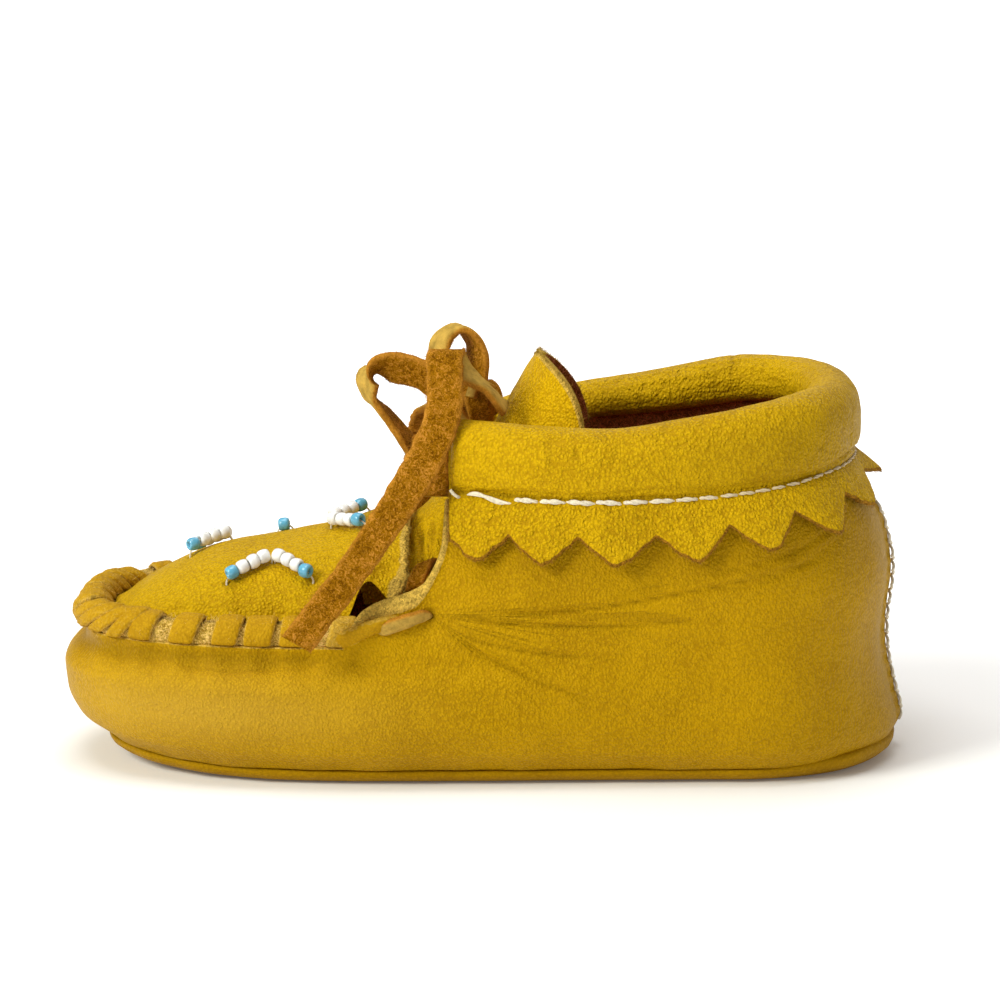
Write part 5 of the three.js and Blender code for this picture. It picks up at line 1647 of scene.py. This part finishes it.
class MOCCASIN_OT_stitching(bpy.types.Operator):
    """Twisted thread stitches below the collar and up the back seam"""

    bl_idname = "moccasin.stitching"
    bl_label = "Stitching"

    STITCH_GAP, OPENING_LENGTH = 0.05, 1.8
    WHIP_FROM, WHIP_TO, WHIP_PITCH, WHIP_RADIUS = 4.5, 41.0, 1.15, 0.24

    def execute(self, context):
        piece = Piece("sewing_thread")
        self.collar_row(piece)
        self.back_seam(piece)
        piece.make([thread_finish("sewing_thread", colours().thread)], "cuff_hide")
        return {"FINISHED"}

    def collar_row(self, piece):
        """Long bright stitches by the front ends, shorter ones drawn into the seam towards the heel."""
        length = collar_turns(np.zeros(1))[1]
        longest = sizes().stitch / MM
        rng = np.random.default_rng(141)
        start = 2.0
        t = np.linspace(0, 1, 20)
        while start < length - 1.4 - longest:
            sunk = float(ease(min(start, length - start), 22, 46))
            opening = start < 2.5
            share = self.OPENING_LENGTH if opening else 1 - 0.4 * sunk
            stitch = longest * share * rng.uniform(0.94, 1.05)
            turns, _, low, _ = cuff_lines((start + t * stitch) / length)
            arch = np.sin(math.pi * t) ** 0.45
            tilt = (0.5 - t) * rng.uniform(-0.15, 0.4)
            if opening:
                tilt = 0.8 * (0.5 - t) + 0.3 * np.sin(2 * math.pi * t)
            z = low + 0.2 + 0.2 * sunk + 0.25 * arch + tilt * (1 - 0.4 * sunk)
            stand = 0.85 + (0.75 - 0.2 * sunk) * arch
            line = wall_point(turns, z) + level_outward(turns, z) * stand[:, None]
            # Painted shade: every stitch here is made a little darker, and those sunk into the seam towards
            # the heel much darker, as if in the groove's shadow.
            self.two_ply(piece, line, rng, 1 - 0.34 * sunk, 0.1 + 0.55 * sunk)
            start += stitch + self.STITCH_GAP
        turns, _, low, _ = cuff_lines(np.array((0.9, 0.6, 0.3, 0.1)) / length)
        rise = np.array((0.0, 0.5, 0.9, 1.5))
        stand = np.array((0.6, 1.7, 2.0, 2.3))[:, None]
        loose_end = wall_point(turns, low + rise) + level_outward(turns, low) * stand
        # The loose end is made a little darker through the shade mark.
        piece.strands(loose_end[None], self.WHIP_RADIUS, 8, crease=0.12)

    def two_ply(self, piece, line, rng, thickness, thread_shade):
        """Two strands laid close and twisted a little round each other along a line."""
        radius = sizes().thread / MM * thickness
        heading = unit(np.gradient(line, axis=0))
        up = unit(np.cross(heading, UP))
        side = np.cross(heading, up)
        twist = rng.uniform(0, 6.28) + np.linspace(0, 2 * math.pi * 1.1, len(line))
        taper = 1 - 0.6 * np.abs(np.linspace(-1, 1, len(line))) ** 3
        for phase in (0, math.pi):
            offset = up * np.cos(twist + phase)[:, None] + side * np.sin(twist + phase)[:, None]
            ply = line + offset * (radius * 0.62 * taper)[:, None]
            piece.strands(ply[None], (radius * taper)[None], 8, crease=thread_shade)

    def back_seam(self, piece):
        """Small whip stitches zigzagging over the back ridge."""
        rng = np.random.default_rng(142)
        heights = np.arange(self.WHIP_FROM, self.WHIP_TO, self.WHIP_PITCH)
        sides = np.where(np.arange(len(heights)) % 2, 1.0, -1.0)
        for k in range(len(heights) - 1):
            t = np.linspace(0, 1, 8)
            z = heights[k] + (heights[k + 1] - heights[k]) * t
            across = (sides[k] + (sides[k + 1] - sides[k]) * t) * rng.uniform(0.9, 1.25)
            line = np.stack([self.back_x(across, z) + 0.25, across, z], -1)
            piece.strands(line[None], self.WHIP_RADIUS, 6)

    def back_x(self, y, z):
        """How far back the heel's face stands at a distance from the middle and a height."""
        heel = along(LEVELS, z, 2)
        seat = along(LEVELS, z, 4)
        drop = (1 - np.abs(y / seat) ** HEEL_ROUND) ** (1 / HEEL_ROUND)
        fade = 1 - ease(z, BACK_TOP - 4, BACK_TOP)
        return SEAT_X + (heel - SEAT_X) * drop + BACK_RISE * bell(y, BACK_HALF) * fade


STEPS = (
    MOCCASIN_OT_stage,
    MOCCASIN_OT_laces,
    MOCCASIN_OT_sole,
    MOCCASIN_OT_wall,
    MOCCASIN_OT_plug,
    MOCCASIN_OT_beads,
    MOCCASIN_OT_toe_lacing,
    MOCCASIN_OT_tongue,
    MOCCASIN_OT_collar,
    MOCCASIN_OT_cuff,
    MOCCASIN_OT_stitching,
)


class MOCCASIN_PT_panel(bpy.types.Panel):
    """Lists the pieces of the shoe"""

    bl_idname = "MOCCASIN_PT_panel"
    bl_label = "Beaded Moccasin"
    bl_space_type = "VIEW_3D"
    bl_region_type = "UI"
    bl_category = "Moccasin"

    def draw(self, context):
        for step in STEPS:
            self.layout.operator(step.bl_idname)
        for group in (context.scene.moccasin_sizes, context.scene.moccasin_colours):
            box = self.layout.box()
            for name in group.bl_rna.properties.keys():
                if name not in {"rna_type", "name"}:
                    box.prop(group, name)


CLASSES = (MoccasinSizes, MoccasinColours, *STEPS, MOCCASIN_PT_panel)


def register():
    for item in CLASSES:
        bpy.utils.register_class(item)
    bpy.types.Scene.moccasin_sizes = bpy.props.PointerProperty(type=MoccasinSizes)
    bpy.types.Scene.moccasin_colours = bpy.props.PointerProperty(type=MoccasinColours)


def unregister():
    del bpy.types.Scene.moccasin_colours
    del bpy.types.Scene.moccasin_sizes
    for item in reversed(CLASSES):
        bpy.utils.unregister_class(item)


def main():
    register()
    for step in STEPS:
        group, name = step.bl_idname.split(".")
        getattr(getattr(bpy.ops, group), name)()


if __name__ == "__main__":
    main()
